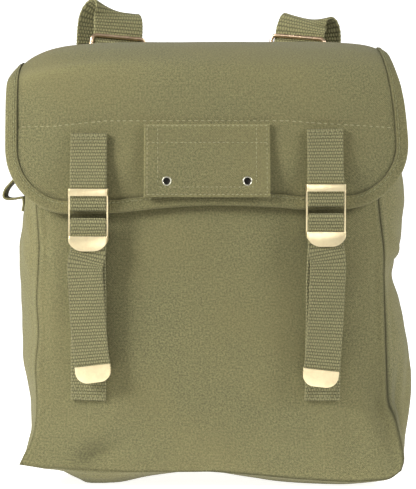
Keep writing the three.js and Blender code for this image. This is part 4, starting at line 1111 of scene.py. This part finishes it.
def add_stitches(name, lines, paint, pitch, length, radius):
    """Rows of stitches as one mesh. Each line is points with the cloth's direction out; a stitch is a
    small spindle lying on the cloth: rings of six points whose radius is the square root of
    1 - place^2, with its ends sunk in."""

    def along_line(values, travel, at):
        return np.stack([np.interp(at, travel, values[:, i]) for i in range(3)], -1)

    starts, runs, outs = [], [], []
    rng = np.random.default_rng(len(name) * 17)
    for points, out in lines:
        points, out = np.asarray(points, float), np.asarray(out, float)
        travel = travelled(points)
        number = max(int(travel[-1] / pitch), 1)
        at = (np.arange(number) + 0.5) * travel[-1] / number
        at = at + rng.uniform(-0.12, 0.12, number) * pitch
        starts.append(along_line(points, travel, at))
        runs.append(unit(along_line(points, travel, at + 0.5) - along_line(points, travel, at - 0.5)))
        outs.append(unit(along_line(out, travel, at)))
    middle, run, out = np.vstack(starts), np.vstack(runs), np.vstack(outs)
    side = unit(np.cross(run, out))
    slant = rng.normal(0, 0.05, (len(middle), 1))
    run, side = unit(run + side * slant), unit(side - run * slant)
    t = np.array([-1, -0.78, -0.3, 0.3, 0.78, 1])
    thick = np.array([0.25, 0.75, 1, 1, 0.75, 0.25])
    angle = np.arange(6) * math.pi / 3
    scale = rng.uniform(0.88, 1.12, (len(middle), 1, 1, 1))
    shape = middle[:, None, None, :] + run[:, None, None, :] * (t[None, :, None, None] * length / 2 * scale)
    ring_x = (thick[:, None] * np.cos(angle))[None, :, :, None] * radius * 1.15
    ring_z = (thick[:, None] * np.sin(angle) * 0.8 + 0.55 - 1.1 * t[:, None] ** 4)[None, :, :, None] * radius
    shape = shape + side[:, None, None, :] * ring_x + out[:, None, None, :] * ring_z
    one = close_ends(grid_faces(6, 6, round_across=True), 6, 6)
    faces = (one[None] + (np.arange(len(middle)) * 36)[:, None, None]).reshape(-1, 4)
    round_it = np.tile(np.arange(6) * 0.4, (len(middle), 6, 1))
    uv = stack(round_it, np.tile(t[:, None] * length / 2, (len(middle), 1, 6)))
    orient_each(new_mesh(name, shape, faces, paint, uv))


def orient_each(piece):
    """Turns every closed shell of a mesh of many shells outward."""
    shells = bmesh.new()
    shells.from_mesh(piece.data)
    bmesh.ops.recalc_face_normals(shells, faces=shells.faces)
    shells.to_mesh(piece.data)
    shells.free()


def flap_row(across, along, lift):
    """A row of stitches over the flap, at given places, with the direction out."""
    point, _, _, out = on_flap(across, along, lift)
    return point, out


# Hard pieces


def softened(name, node, paint, edge):
    """A copy of a hard node with its flat faces joined and its edges rounded by a bevel."""
    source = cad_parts[node].data
    shells = bmesh.new()
    shells.from_mesh(source)
    bmesh.ops.remove_doubles(shells, verts=shells.verts, dist=2e-6)
    bmesh.ops.dissolve_limit(shells, angle_limit=math.radians(1.5), verts=shells.verts, edges=shells.edges)
    bmesh.ops.recalc_face_normals(shells, faces=shells.faces)
    mesh = bpy.data.meshes.new(name)
    shells.to_mesh(mesh)
    shells.free()
    mesh.materials.clear()
    mesh.polygons.foreach_set("material_index", np.zeros(len(mesh.polygons), np.int32))
    piece = place_mesh(name, mesh, paint)
    bevel = piece.modifiers.new("rounded edges", "BEVEL")
    bevel.width = edge / 1000
    bevel.segments = 3
    bevel.limit_method = "ANGLE"
    bevel.angle_limit = math.radians(32)
    bevel.harden_normals = True
    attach(piece, "root")
    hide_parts(node)


def tab_seat(low, along):
    """How far the equipment tab rises over the binding toward its lower edge: a smooth step."""
    share = (along - low + TAB_HEIGHT) / (TAB_HEIGHT - TAB_OVER_BINDING - 3)
    t = np.clip((share - 0.25) / 0.75, 0, 1)
    return (BINDING + BINDING_GAP + GAP) * t * t * (3 - 2 * t)


def eyelet_mesh(name, node, side, low_along):
    """A rolled metal ring: a profile turned round its own axis, with the hole closed behind and marked for
    painted shade.
    """
    under = CANVAS + GAP + TAB_CLOTH
    along = low_along - EYELET_ABOVE_EDGE
    spot, flat, run, out = on_flap(side * EYELET_SPAN / 2, along, under + tab_seat(low_along, along))
    profile = np.array([
        [0.02, -0.9], [1.3, -0.9], [2.1, -0.85], [EYELET_HOLE - 0.05, -0.5], [EYELET_HOLE, 0.1],
        [EYELET_HOLE + 0.12, 0.5], [EYELET_HOLE + 0.32, 0.74], [EYELET_HOLE + 0.55, 0.8],
        [EYELET_RADIUS - 0.28, 0.68], [EYELET_RADIUS - 0.07, 0.42], [EYELET_RADIUS, 0.2],
        [EYELET_RADIUS - 0.5, 0.1],
    ])
    turns = 48
    angle = np.arange(turns) * 2 * math.pi / turns
    ring = flat * np.cos(angle)[:, None] - run * np.sin(angle)[:, None]
    grid = spot + ring[None, :, :] * profile[:, :1, None] + out * profile[:, 1:, None]
    # Painted shade: the hole's wall and its closed back are marked to be painted near-black
    deep = np.clip((0.5 - profile[:, 1]) / 0.35, 0, 1)[:, None] + np.zeros((1, turns))
    deep = deep * (profile[:, :1] < EYELET_HOLE + 0.15)
    piece = new_mesh(name, grid, grid_faces(len(profile), turns, round_across=True), paints["eyelet_hole"],
                     None, {"deep": deep}, middle=spot - 3 * out)
    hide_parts(node)


def eyelet_paint():
    """Nickel with painted shade down the hole: near-black and not metallic where the mark called deep is
    high.
    """
    paint = Paint("nickel eyelet with painted shade in the hole")
    place = paint.place()
    clouds = paint.noise(place, 420, 4, 0.6)
    deep = paint.mark("deep")
    metal = paint.blend(paint.step(clouds, 0.4, 0.65) * 0.5, (0.60, 0.58, 0.48), (0.38, 0.36, 0.28))
    # Painted shade down the hole
    colour = paint.blend(deep, metal, (0.012, 0.010, 0.006))
    rough = 0.2 + 0.2 * clouds + 0.5 * deep
    return paint.finish(colour, rough.clip(), clouds, 0.00004, (1 - deep).clip())


paints["eyelet_hole"] = eyelet_paint()


def wire_slider(name, node, flat, up, inward, middle):
    """A wire slider: a round wire carried round a rectangle with rounded corners, and a bar across."""
    half = SHOULDER_WIDTH / 2 + GAP + WIRE
    corner = 4.0
    w, h = half, SLIDER_PITCH
    border = np.vstack([
        arc((right * (w - corner), high * (h - corner)), corner, 90 * k, 90 * k + 90, 12)
        for k, (right, high) in enumerate(((1, 1), (-1, 1), (-1, -1), (1, -1)))
    ])
    run = unit(np.roll(border, -1, 0) - np.roll(border, 1, 0))
    sides = 14
    angle = np.arange(sides) * 2 * math.pi / sides
    x = border[:, None, 0] + run[:, None, 1] * WIRE * np.cos(angle)
    y = border[:, None, 1] - run[:, None, 0] * WIRE * np.cos(angle)
    z = np.broadcast_to(WIRE * np.sin(angle), x.shape)
    frame_ring = stack(x, y, z)
    bar_x = np.linspace(-w, w, 8)
    bar = stack(bar_x[:, None], WIRE * np.cos(angle)[None, :], WIRE * np.sin(angle)[None, :])
    local = np.vstack([frame_ring.reshape(-1, 3), bar.reshape(-1, 3)])
    basis = np.stack([flat, up, inward])
    faces = np.vstack([
        grid_faces(len(border), sides, True, True),
        close_ends(grid_faces(8, sides, round_across=True), 8, sides) + frame_ring.size // 3,
    ])
    piece = new_mesh(name, local @ basis + middle, faces, paints["wire"])
    orient_each(piece)
    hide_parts(node)


# Build the cloth

add_gusset()
add_panel("front", 176, 190)
add_panel("back", 110, 120)
add_flap()
add_binding()


TAB_COLUMNS = 86
TAB_LINES = 50


def add_equipment_tab():
    """Doubled cloth on the flap: a grid with two round holes, hems that stand up, and loose edges."""
    low = float(edge_along(0.0)) - BINDING_BAND + TAB_OVER_BINDING
    columns = np.linspace(-TAB_WIDTH / 2, TAB_WIDTH / 2, TAB_COLUMNS + 1)
    lines = low - TAB_HEIGHT + np.linspace(0, TAB_HEIGHT, TAB_LINES + 1)
    across, along = np.meshgrid(columns, lines)
    keep = np.ones((len(lines) - 1, len(columns) - 1), bool)
    for side in (-1, 1):
        a0, l0 = side * EYELET_SPAN / 2, low - EYELET_ABOVE_EDGE
        c = np.argmin(np.abs(columns - a0))
        r = np.argmin(np.abs(lines - l0))
        da, dl = columns[c] - a0, lines[r] - l0
        near = np.exp(-(((across - a0) ** 2 + (along - l0) ** 2) / 60))
        across, along = across - da * near, along - dl * near
        keep[r - 2:r + 2, c - 2:c + 2] = False
        down, sideways = np.arange(len(lines))[:, None] - r, np.arange(len(columns))[None, :] - c
        ring = np.maximum(np.abs(down), np.abs(sideways)) == 2
        vx, vy = across[ring] - a0, along[ring] - l0
        stretch = (EYELET_HOLE + 0.55) / np.hypot(vx, vy)
        across[ring], along[ring] = a0 + vx * stretch, l0 + vy * stretch
    off = CANVAS + GAP + TAB_CLOTH + RISE
    down = along - (low - TAB_HEIGHT)
    from_side = TAB_WIDTH / 2 - np.abs(across)
    loose = np.clip((down - 16) / TAB_HEIGHT, 0, 1)
    rim = np.minimum(from_side, np.minimum(TAB_HEIGHT - down, down))
    lift = 1.8 * loose**1.4 + 1.8 * loose * np.exp(-from_side / 12) + 0.7 * np.exp(-from_side / 5)
    hem = -0.35 * bell(rim, 0, 0.9)
    for distance, middle, wide, deep in ((from_side, 2.2, 0.7, 0.28), (down, 47.5, 0.8, 0.28),
                                         (from_side, 9.4, 0.7, 0.25), (down, 42, 0.7, 0.25),
                                         (down, 12.5, 0.8, 0.25)):
        hem = hem - deep * bell(distance, middle, wide)
    slow = ripple(across, along, 42, 44, 3) * 0.3
    beside, over = np.abs(across) - EYELET_SPAN / 2, along - low + EYELET_ABOVE_EDGE
    eyelets = np.exp(-((beside**2 + over**2) / 16))
    height = off + tab_seat(low, along) + (lift + slow) * (1 - eyelets) + hem - 0.35 * eyelets
    grid = on_flap(across, along, height)[0]
    faces = grid_faces(*across.shape)[keep.ravel()]
    wear_and_highlight = 0.5 * bell(rim, 0, 1.2)
    uv = stack(across, along)
    piece = new_mesh("equipment_tab_cloth", grid, faces, paints["tab"], uv, {"wear_and_highlight": wear_and_highlight})
    thicken(piece, TAB_CLOTH)
    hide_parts("equipment_tab")
    for side, end in ((-1, "left"), (1, "right")):
        eyelet_mesh(f"nickel_eyelet_{end}", f"eyelet_{end}", side, low)
    return low, height


tab_low, tab_height = add_equipment_tab()


def tab_row(points):
    """A line over the equipment tab between places measured from its left and top edges."""
    points = np.asarray(points, float)
    count = 80
    t = np.linspace(0, len(points) - 1, count)
    a = np.interp(t, np.arange(len(points)), points[:, 0]) - TAB_WIDTH / 2
    b = np.interp(t, np.arange(len(points)), points[:, 1]) + tab_low - TAB_HEIGHT
    c = np.clip((a + TAB_WIDTH / 2) / TAB_WIDTH * TAB_COLUMNS, 0, TAB_COLUMNS).round().astype(int)
    r = np.clip((b - tab_low + TAB_HEIGHT) / TAB_HEIGHT * TAB_LINES, 0, TAB_LINES).round().astype(int)
    lift = np.convolve(np.pad(tab_height[r, c], 2, "edge"), np.full(5, 0.2), "valid")
    return flap_row(a, b, lift + 0.05)


# Closing straps, their tabs, buckles and tips

LAYER = WEB + 2 * GAP
BAR_DEPTH = -(LAYER + BAR_RADIUS)
WRAP = BAR_RADIUS + GAP + WEB / 2
CHAPE_UNDER = CANVAS + GAP + WEB / 2
BUCKLE_OFF = CHAPE_UNDER + BINDING + BINDING_GAP + WRAP - BAR_DEPTH


def add_closure(side, end, free_length):
    """Buckle tab, closing strap, buckle and tip of one side. Returns what its stitches follow."""
    edge = float(edge_along(side * STRAP_OUT))
    seat, seat_flat, seat_run, seat_out = on_flap(side * STRAP_OUT, edge + BUCKLE_BELOW_EDGE, BUCKLE_OFF)
    rise = -seat_run

    def in_buckle(up, out):
        return seat + rise * up + seat_out * out, seat_flat

    def bend(height, start, finish):
        turns = np.linspace(start, finish, 5)
        return [in_buckle(height + WRAP * math.sin(a), BAR_DEPTH + WRAP * math.cos(a)) for a in turns]

    def on_tab(from_edge, off):
        point, flat, _, _ = on_flap(side * STRAP_OUT, edge - from_edge, off)
        return point, flat

    behind, front_face = BAR_DEPTH - WRAP, BAR_DEPTH + WRAP
    sewn = CHAPE_LENGTH + UPPER_BAR - BUCKLE_BELOW_EDGE - WRAP
    band = BINDING_BAND + 2 * WEB
    over = CHAPE_UNDER + WEB + GAP
    chape = [
        on_tab(sewn, CHAPE_UNDER + RISE), on_tab(sewn * 0.7, CHAPE_UNDER + RISE),
        on_tab(band + 2 * WEB, CHAPE_UNDER + 0.2),
        on_tab(band, CHAPE_UNDER + (BINDING + BINDING_GAP) * 0.85), in_buckle(UPPER_BAR + 3, behind),
        *bend(UPPER_BAR, math.pi, 2 * math.pi),
        in_buckle(UPPER_BAR + 4, front_face), in_buckle(BUCKLE_HEIGHT / 2 + 0.5, front_face),
        on_tab(sewn * 0.62, over + 1.2), on_tab(sewn * 0.75, over + RISE), on_tab(sewn * 0.88, over + 0.3),
        on_tab(sewn, over + 0.3),
    ]
    points, flats = zip(*chape)
    add_webbing(f"webbing_buckle_tab_{end}", f"buckle_tab_{end}", points, flats, WEB_WIDTH, WEB,
                paints["webbing"])

    flat = GAP + WEB / 2
    seat_z = seat[2]
    low_point = in_buckle(LOWER_BAR - 4, behind)[0]
    seat_off = on_panel("front", low_point[0], low_point[2])[0][1] - low_point[1]
    leg_top = low_point[2] - 12
    lean = 1 if side > 0 else -0.8

    def leg_x(z):
        return side * (STRAP_OUT - 1.5 * lean * (seat_z - z) / (seat_z - LEG_FOOT))

    leg = []
    for share in (0, 0.25, 0.5, 0.72):
        z = LEG_FOOT + (leg_top - LEG_FOOT) * share
        leg.append(on_panel("front", leg_x(z), z, flat + RISE))
    lift = on_panel("front", leg_x(leg_top), leg_top, flat + (seat_off - flat) * 0.55)
    hang_top = seat_z - BUCKLE_HEIGHT / 2
    hang_off = seat_off + 2 * WRAP
    hang = [
        on_panel("front", seat[0] - side * drift * WEB_WIDTH, hang_top - down * free_length, off * hang_off)
        for down, off, drift in zip(*FREE.values())
    ]
    strap = [
        *leg, lift, in_buckle(LOWER_BAR - 4, behind), *bend(LOWER_BAR, math.pi, 0),
        in_buckle(LOWER_BAR - 6, front_face), in_buckle(-BUCKLE_HEIGHT / 2, front_face), *hang,
    ]
    points, flats = zip(*strap)
    add_webbing(f"webbing_closing_strap_{end}", f"closing_strap_{end}", points, flats, WEB_WIDTH, WEB,
                paints["webbing"])
    softened(f"brass_buckle_{end}", f"buckle_{end}", paints["brass"], 0.28)
    softened(f"brass_tip_{end}", f"strap_tip_{end}", paints["brass"], 0.22)
    return {"leg_x": leg_x, "sewn": sewn, "over": over, "edge": edge, "flat": flat}


closures = {-1: add_closure(-1, "left", FREE_LEFT), 1: add_closure(1, "right", FREE_RIGHT)}

# Shoulder straps


def turned(v, axis, angle):
    """A vector turned about an axis."""
    c = math.cos(angle)
    return v * c + np.cross(axis, v) * math.sin(angle) + axis * (axis @ v) * (1 - c)


def add_shoulder_strap(side, end, bight, lean, roll):
    """One shoulder strap: sewn at the top of the back, through its slider, over in a bight and down.
    Returns where its two sewn ends are across the bag."""
    flat = np.array([math.cos(TURN), -side * math.sin(TURN), 0])
    up = np.array([0, 0.1, 1])
    up = unit(up - flat * (up @ flat))
    inward = np.cross(flat, up)
    flat, up = turned(flat, inward, -side * lean), turned(up, inward, -side * lean)
    middle = np.array([side * SHOULDER_OUT, BODY_DEPTH / 2 + SLIDER_BACK, SLIDER_UP])
    wire_slider(f"wire_slider_{end}", f"slider_{end}", flat, up, inward, middle)
    weave = WIRE + 2 * GAP + SHOULDER_WEB / 2

    def by_slider(height, back, tilt=0.0, sway=0.0):
        at = middle + up * height - inward * back + flat * (side * sway * BIGHT_SWAY)
        return at, turned(flat, inward, side * roll * tilt)

    deep = 6 * SHOULDER_WEB
    off = 1.5 * GAP + SHOULDER_WEB / 2
    inner = side * SHOULDER_OUT * 0.95
    lap = CANVAS + off
    lap_edge = BODY_HEIGHT * FLAP["up"][0]
    foot_x = side * SHOULDER_OUT * HANG["out"][-1]
    route_points = [
        on_panel("back", inner, SHOULDER_TOP, off), on_panel("back", inner, lap_edge - 14, off),
        on_panel("back", inner, lap_edge - 4, off + CANVAS + 3 * GAP),
        on_flap(inner, along_back(lap_edge + 8), lap + 2 * GAP)[:2],
        on_flap(inner, along_back(lap_edge + 18), lap + 7 * GAP)[:2],
        by_slider(-SLIDER_PITCH - 5, weave), by_slider(-SLIDER_PITCH, weave), by_slider(-SLIDER_PITCH / 2, 0),
        by_slider(0, -weave), by_slider(SLIDER_PITCH / 2, 0), by_slider(SLIDER_PITCH, weave),
        by_slider(SLIDER_PITCH + 5, weave),
        *(by_slider(bight + deep * up_share, weave + deep * back_share, tilt, sway)
          for up_share, back_share, tilt, sway in zip(*BIGHT.values())),
    ]
    for share, out, back_share, turn in zip(*HANG.values()):
        z = SHOULDER_FOOT + (SLIDER_UP - SHOULDER_FOOT) * share
        way = np.array([math.cos(TURN * turn), -side * math.sin(TURN * turn), 0])
        route_points.append((np.array([side * SHOULDER_OUT * out, BODY_DEPTH * (0.5 + back_share), z]), way))
    route_points.append(on_panel("back", foot_x, SHOULDER_FOOT + 16, off))
    route_points.append(on_panel("back", foot_x, SHOULDER_FOOT, off))
    points, flats = zip(*route_points)
    add_webbing(f"webbing_shoulder_strap_{end}", f"shoulder_strap_{end}", points, flats, SHOULDER_WIDTH,
                SHOULDER_WEB, paints["shoulder"], step=1.1)
    return inner, foot_x


shoulders = [
    add_shoulder_strap(-1, "left", BIGHT_LEFT, -LEAN, math.radians(14)),
    add_shoulder_strap(1, "right", BIGHT_RIGHT, LEAN, -LEAN),
]

# Side loop


def add_side_loop():
    """A folded strip of cloth sewn to the left side: it stands out, folds and comes back."""
    whole = np.arange(SIDE_STATIONS + 1.0)
    line = gusset_point(whole, LOOP_SHARE)
    points, flats = [], []
    for out_share, up_share in zip(*LOOP.values()):
        z = LOOP_UP + up_share * LOOP_HEIGHT
        i = int(np.clip(np.sum(line[:, 2] > z) - 1, 0, SIDE_STATIONS - 1))
        high, low = line[i], line[i + 1]
        at = high + (low - high) * (high[2] - z) / (high[2] - low[2])
        across = unit(gusset_point(i, LOOP_SHARE + 0.05) - gusset_point(i, LOOP_SHARE - 0.05))
        out = unit(np.cross(across, low - high))
        if out[0] > 0:
            out = -out
        points.append(at + out * (GAP + CANVAS / 2 + out_share * LOOP_REACH))
        flats.append(across)
    add_webbing("canvas_side_loop", "side_loop", points, flats, LOOP_WIDTH, CANVAS, paints["tab"],
                step=0.6)


add_side_loop()

# Stitching


def web_row(panel, xs, zs, off):
    """A row of stitches over webbing on a panel, with the direction out."""
    points = [on_panel(panel, x, z, off)[0] for x, z in zip(xs, zs)]
    out = [0.0, 1.0 if panel == "back" else -1.0, 0.0]
    return np.array(points), np.tile(out, (len(points), 1))


def add_all_stitches():
    """Every row of stitches, grouped by its thread."""
    across = np.linspace(-HALF_FLAP + 10, HALF_FLAP - 10, 260)
    lift = CANVAS + flap_relief(across, stitch_along(across)) + 0.05
    flap_line_row = flap_row(across, stitch_along(across), lift)
    add_stitches("stitches_flap", [flap_line_row], paints["thread"], 4.4, 2.7, 0.29)

    tab = [tab_row([(x0, y0), (x1, y1)]) for x0, y0, x1, y1 in zip(*TAB_STITCHES.values())]
    add_stitches("stitches_equipment_tab", tab, paints["thread"], 3.1, 1.9, 0.25)

    border = flap_border(2.5)
    run = unit(np.gradient(border, axis=0))
    inward = np.column_stack([run[:, 1], -run[:, 0]])
    place = border + inward * (BINDING_BAND - 2.0)
    tape = flap_row(place[:, 0], place[:, 1], CANVAS + BINDING_GAP + BINDING + RISE)
    add_stitches("stitches_binding", [tape], paints["green_thread"], 3.2, 2.1, 0.3)

    webbing = []
    for side, closure in closures.items():
        x0, half = side * STRAP_OUT, WEB_WIDTH / 2 - 2.2
        top = closure["edge"] - closure["sewn"] + 2
        over = closure["over"] + WEB / 2 + 0.3
        for lower in (0, 3.2):
            xs = x0 + np.linspace(-half, half, 12)
            webbing.append(flap_row(xs, top + lower + 0 * xs, np.full(12, over)))
        foot, leg_x = LEG_FOOT + 1.8, closure["leg_x"]
        off = closure["flat"] + WEB / 2 + 0.4
        t = np.linspace(0, 1, 40)
        for row in range(3):
            webbing.append(web_row("front", leg_x(foot) - half + 2 * half * t, foot + row * 3.4 + 0 * t, off))
        zs = foot + 11 * t
        for direction in (-1, 1):
            webbing.append(web_row("front", leg_x(zs) + direction * half, zs, off))
    for inner, foot_x in shoulders:
        half = SHOULDER_WIDTH / 2 - 3
        out_off = GAP + SHOULDER_WEB + 0.1
        for x0, z0, tall in ((inner, SHOULDER_TOP + 2, 16), (foot_x, SHOULDER_FOOT + 2, 13)):
            for a, b in (((-half, 0), (half, 0)), ((-half, tall), (half, tall)), ((-half, 0), (-half, tall)),
                         ((half, 0), (half, tall)), ((-half, 0), (half, tall)), ((half, 0), (-half, tall))):
                t = np.linspace(0, 1, 14)
                xs, zs = x0 + a[0] + (b[0] - a[0]) * t, z0 + a[1] + (b[1] - a[1]) * t
                webbing.append(web_row("back", xs, zs, out_off))
    add_stitches("stitches_webbing", webbing, paints["green_thread"], 3.0, 2.0, 0.34)


add_all_stitches()

# Stage, light and camera


def paper_paint():
    """Studio paper, white and lit behind the bag and grey in front of it, so that the cloth keeps its
    shadows."""
    paint = Paint("studio paper", Emission_Strength=1.0)
    place = add(paint.tree, "ShaderNodeSeparateXYZ", sockets=[paint.place()])
    depth = Wire(paint.tree, place.socket.node.outputs[1])
    behind = paint.step(depth, -0.4, -0.05)
    grain = paint.noise(paint.place(), 900, 2)
    glow = paint.blend(behind, (0.25, 0.25, 0.25), (0.85, 0.85, 0.85))
    paint.tree.links.new(glow.socket, paint.shader.inputs["Emission Color"])
    tone = paint.blend(behind, (0.3, 0.3, 0.3), (0.85, 0.85, 0.85))
    return paint.finish(tone, 0.85 + 0.1 * grain, grain, 0.00002)


def stage_plane():
    """A pale floor that curves up behind the bag: flat, then a quarter circle, then a wall."""
    far, radius, height = 3.4, 0.9, 2.6
    angle = np.linspace(0, math.pi / 2, 24)
    y = np.concatenate([[-3.0], far + radius * np.sin(angle), [far + radius]])
    z = np.concatenate([[0.0], radius - radius * np.cos(angle), [height]])
    x = np.array([-3.5, 3.5])
    grid = stack(x[None, :], y[:, None], z[:, None])
    mesh = bpy.data.meshes.new("studio_floor")
    mesh.from_pydata(grid.reshape(-1, 3).tolist(), [], grid_faces(len(y), 2).tolist())
    floor = place_mesh("studio_floor", mesh, paper_paint())


def soft_light(name, place, aim, size, watts, tone=(1, 1, 1)):
    """A square soft box that faces a point."""
    light = bpy.data.lights.new(name, "AREA")
    light.shape = "SQUARE"
    light.size = size
    light.energy = watts
    light.color = tone
    lamp = bpy.data.objects.new(name, light)
    lamp.location = place
    lamp.rotation_euler = (Vector(aim) - Vector(place)).to_track_quat("-Z", "Y").to_euler()
    bpy.context.scene.collection.objects.link(lamp)


stage_plane()
soft_light("left", (-1.1, -0.62, 0.8), (0, 0, 0.17), 0.4, 31, (1, 0.99, 0.96))
soft_light("right", (1.15, -0.5, 0.8), (0, 0, 0.17), 0.4, 15.5)
soft_light("card behind the camera", (0, -2.3, 0.1), (0, 0, 0.2), 1.0, 10)

world = bpy.data.worlds.new("white room")
world.use_nodes = True
world.node_tree.nodes["Background"].inputs["Color"].default_value = (1, 1, 1, 1)
world.node_tree.nodes["Background"].inputs["Strength"].default_value = 0.22
scene = bpy.context.scene
scene.world = world
scene.view_settings.view_transform = "Standard"

TARGET = Vector((0.0018, -0.064, 0.1698))
DISTANCE = 1.75
ELEVATION = math.radians(3.2)
camera = bpy.data.objects.new("camera", bpy.data.cameras.new("camera"))
camera.location = TARGET + DISTANCE * Vector((0, -math.cos(ELEVATION), math.sin(ELEVATION)))
camera.rotation_euler = (TARGET - camera.location).to_track_quat("-Z", "Y").to_euler()
camera.data.sensor_fit = "VERTICAL"
camera.data.sensor_height = 36
camera.data.lens = 36 * DISTANCE / 0.3355
camera.data.clip_end = 30
scene.collection.objects.link(camera)
scene.camera = camera
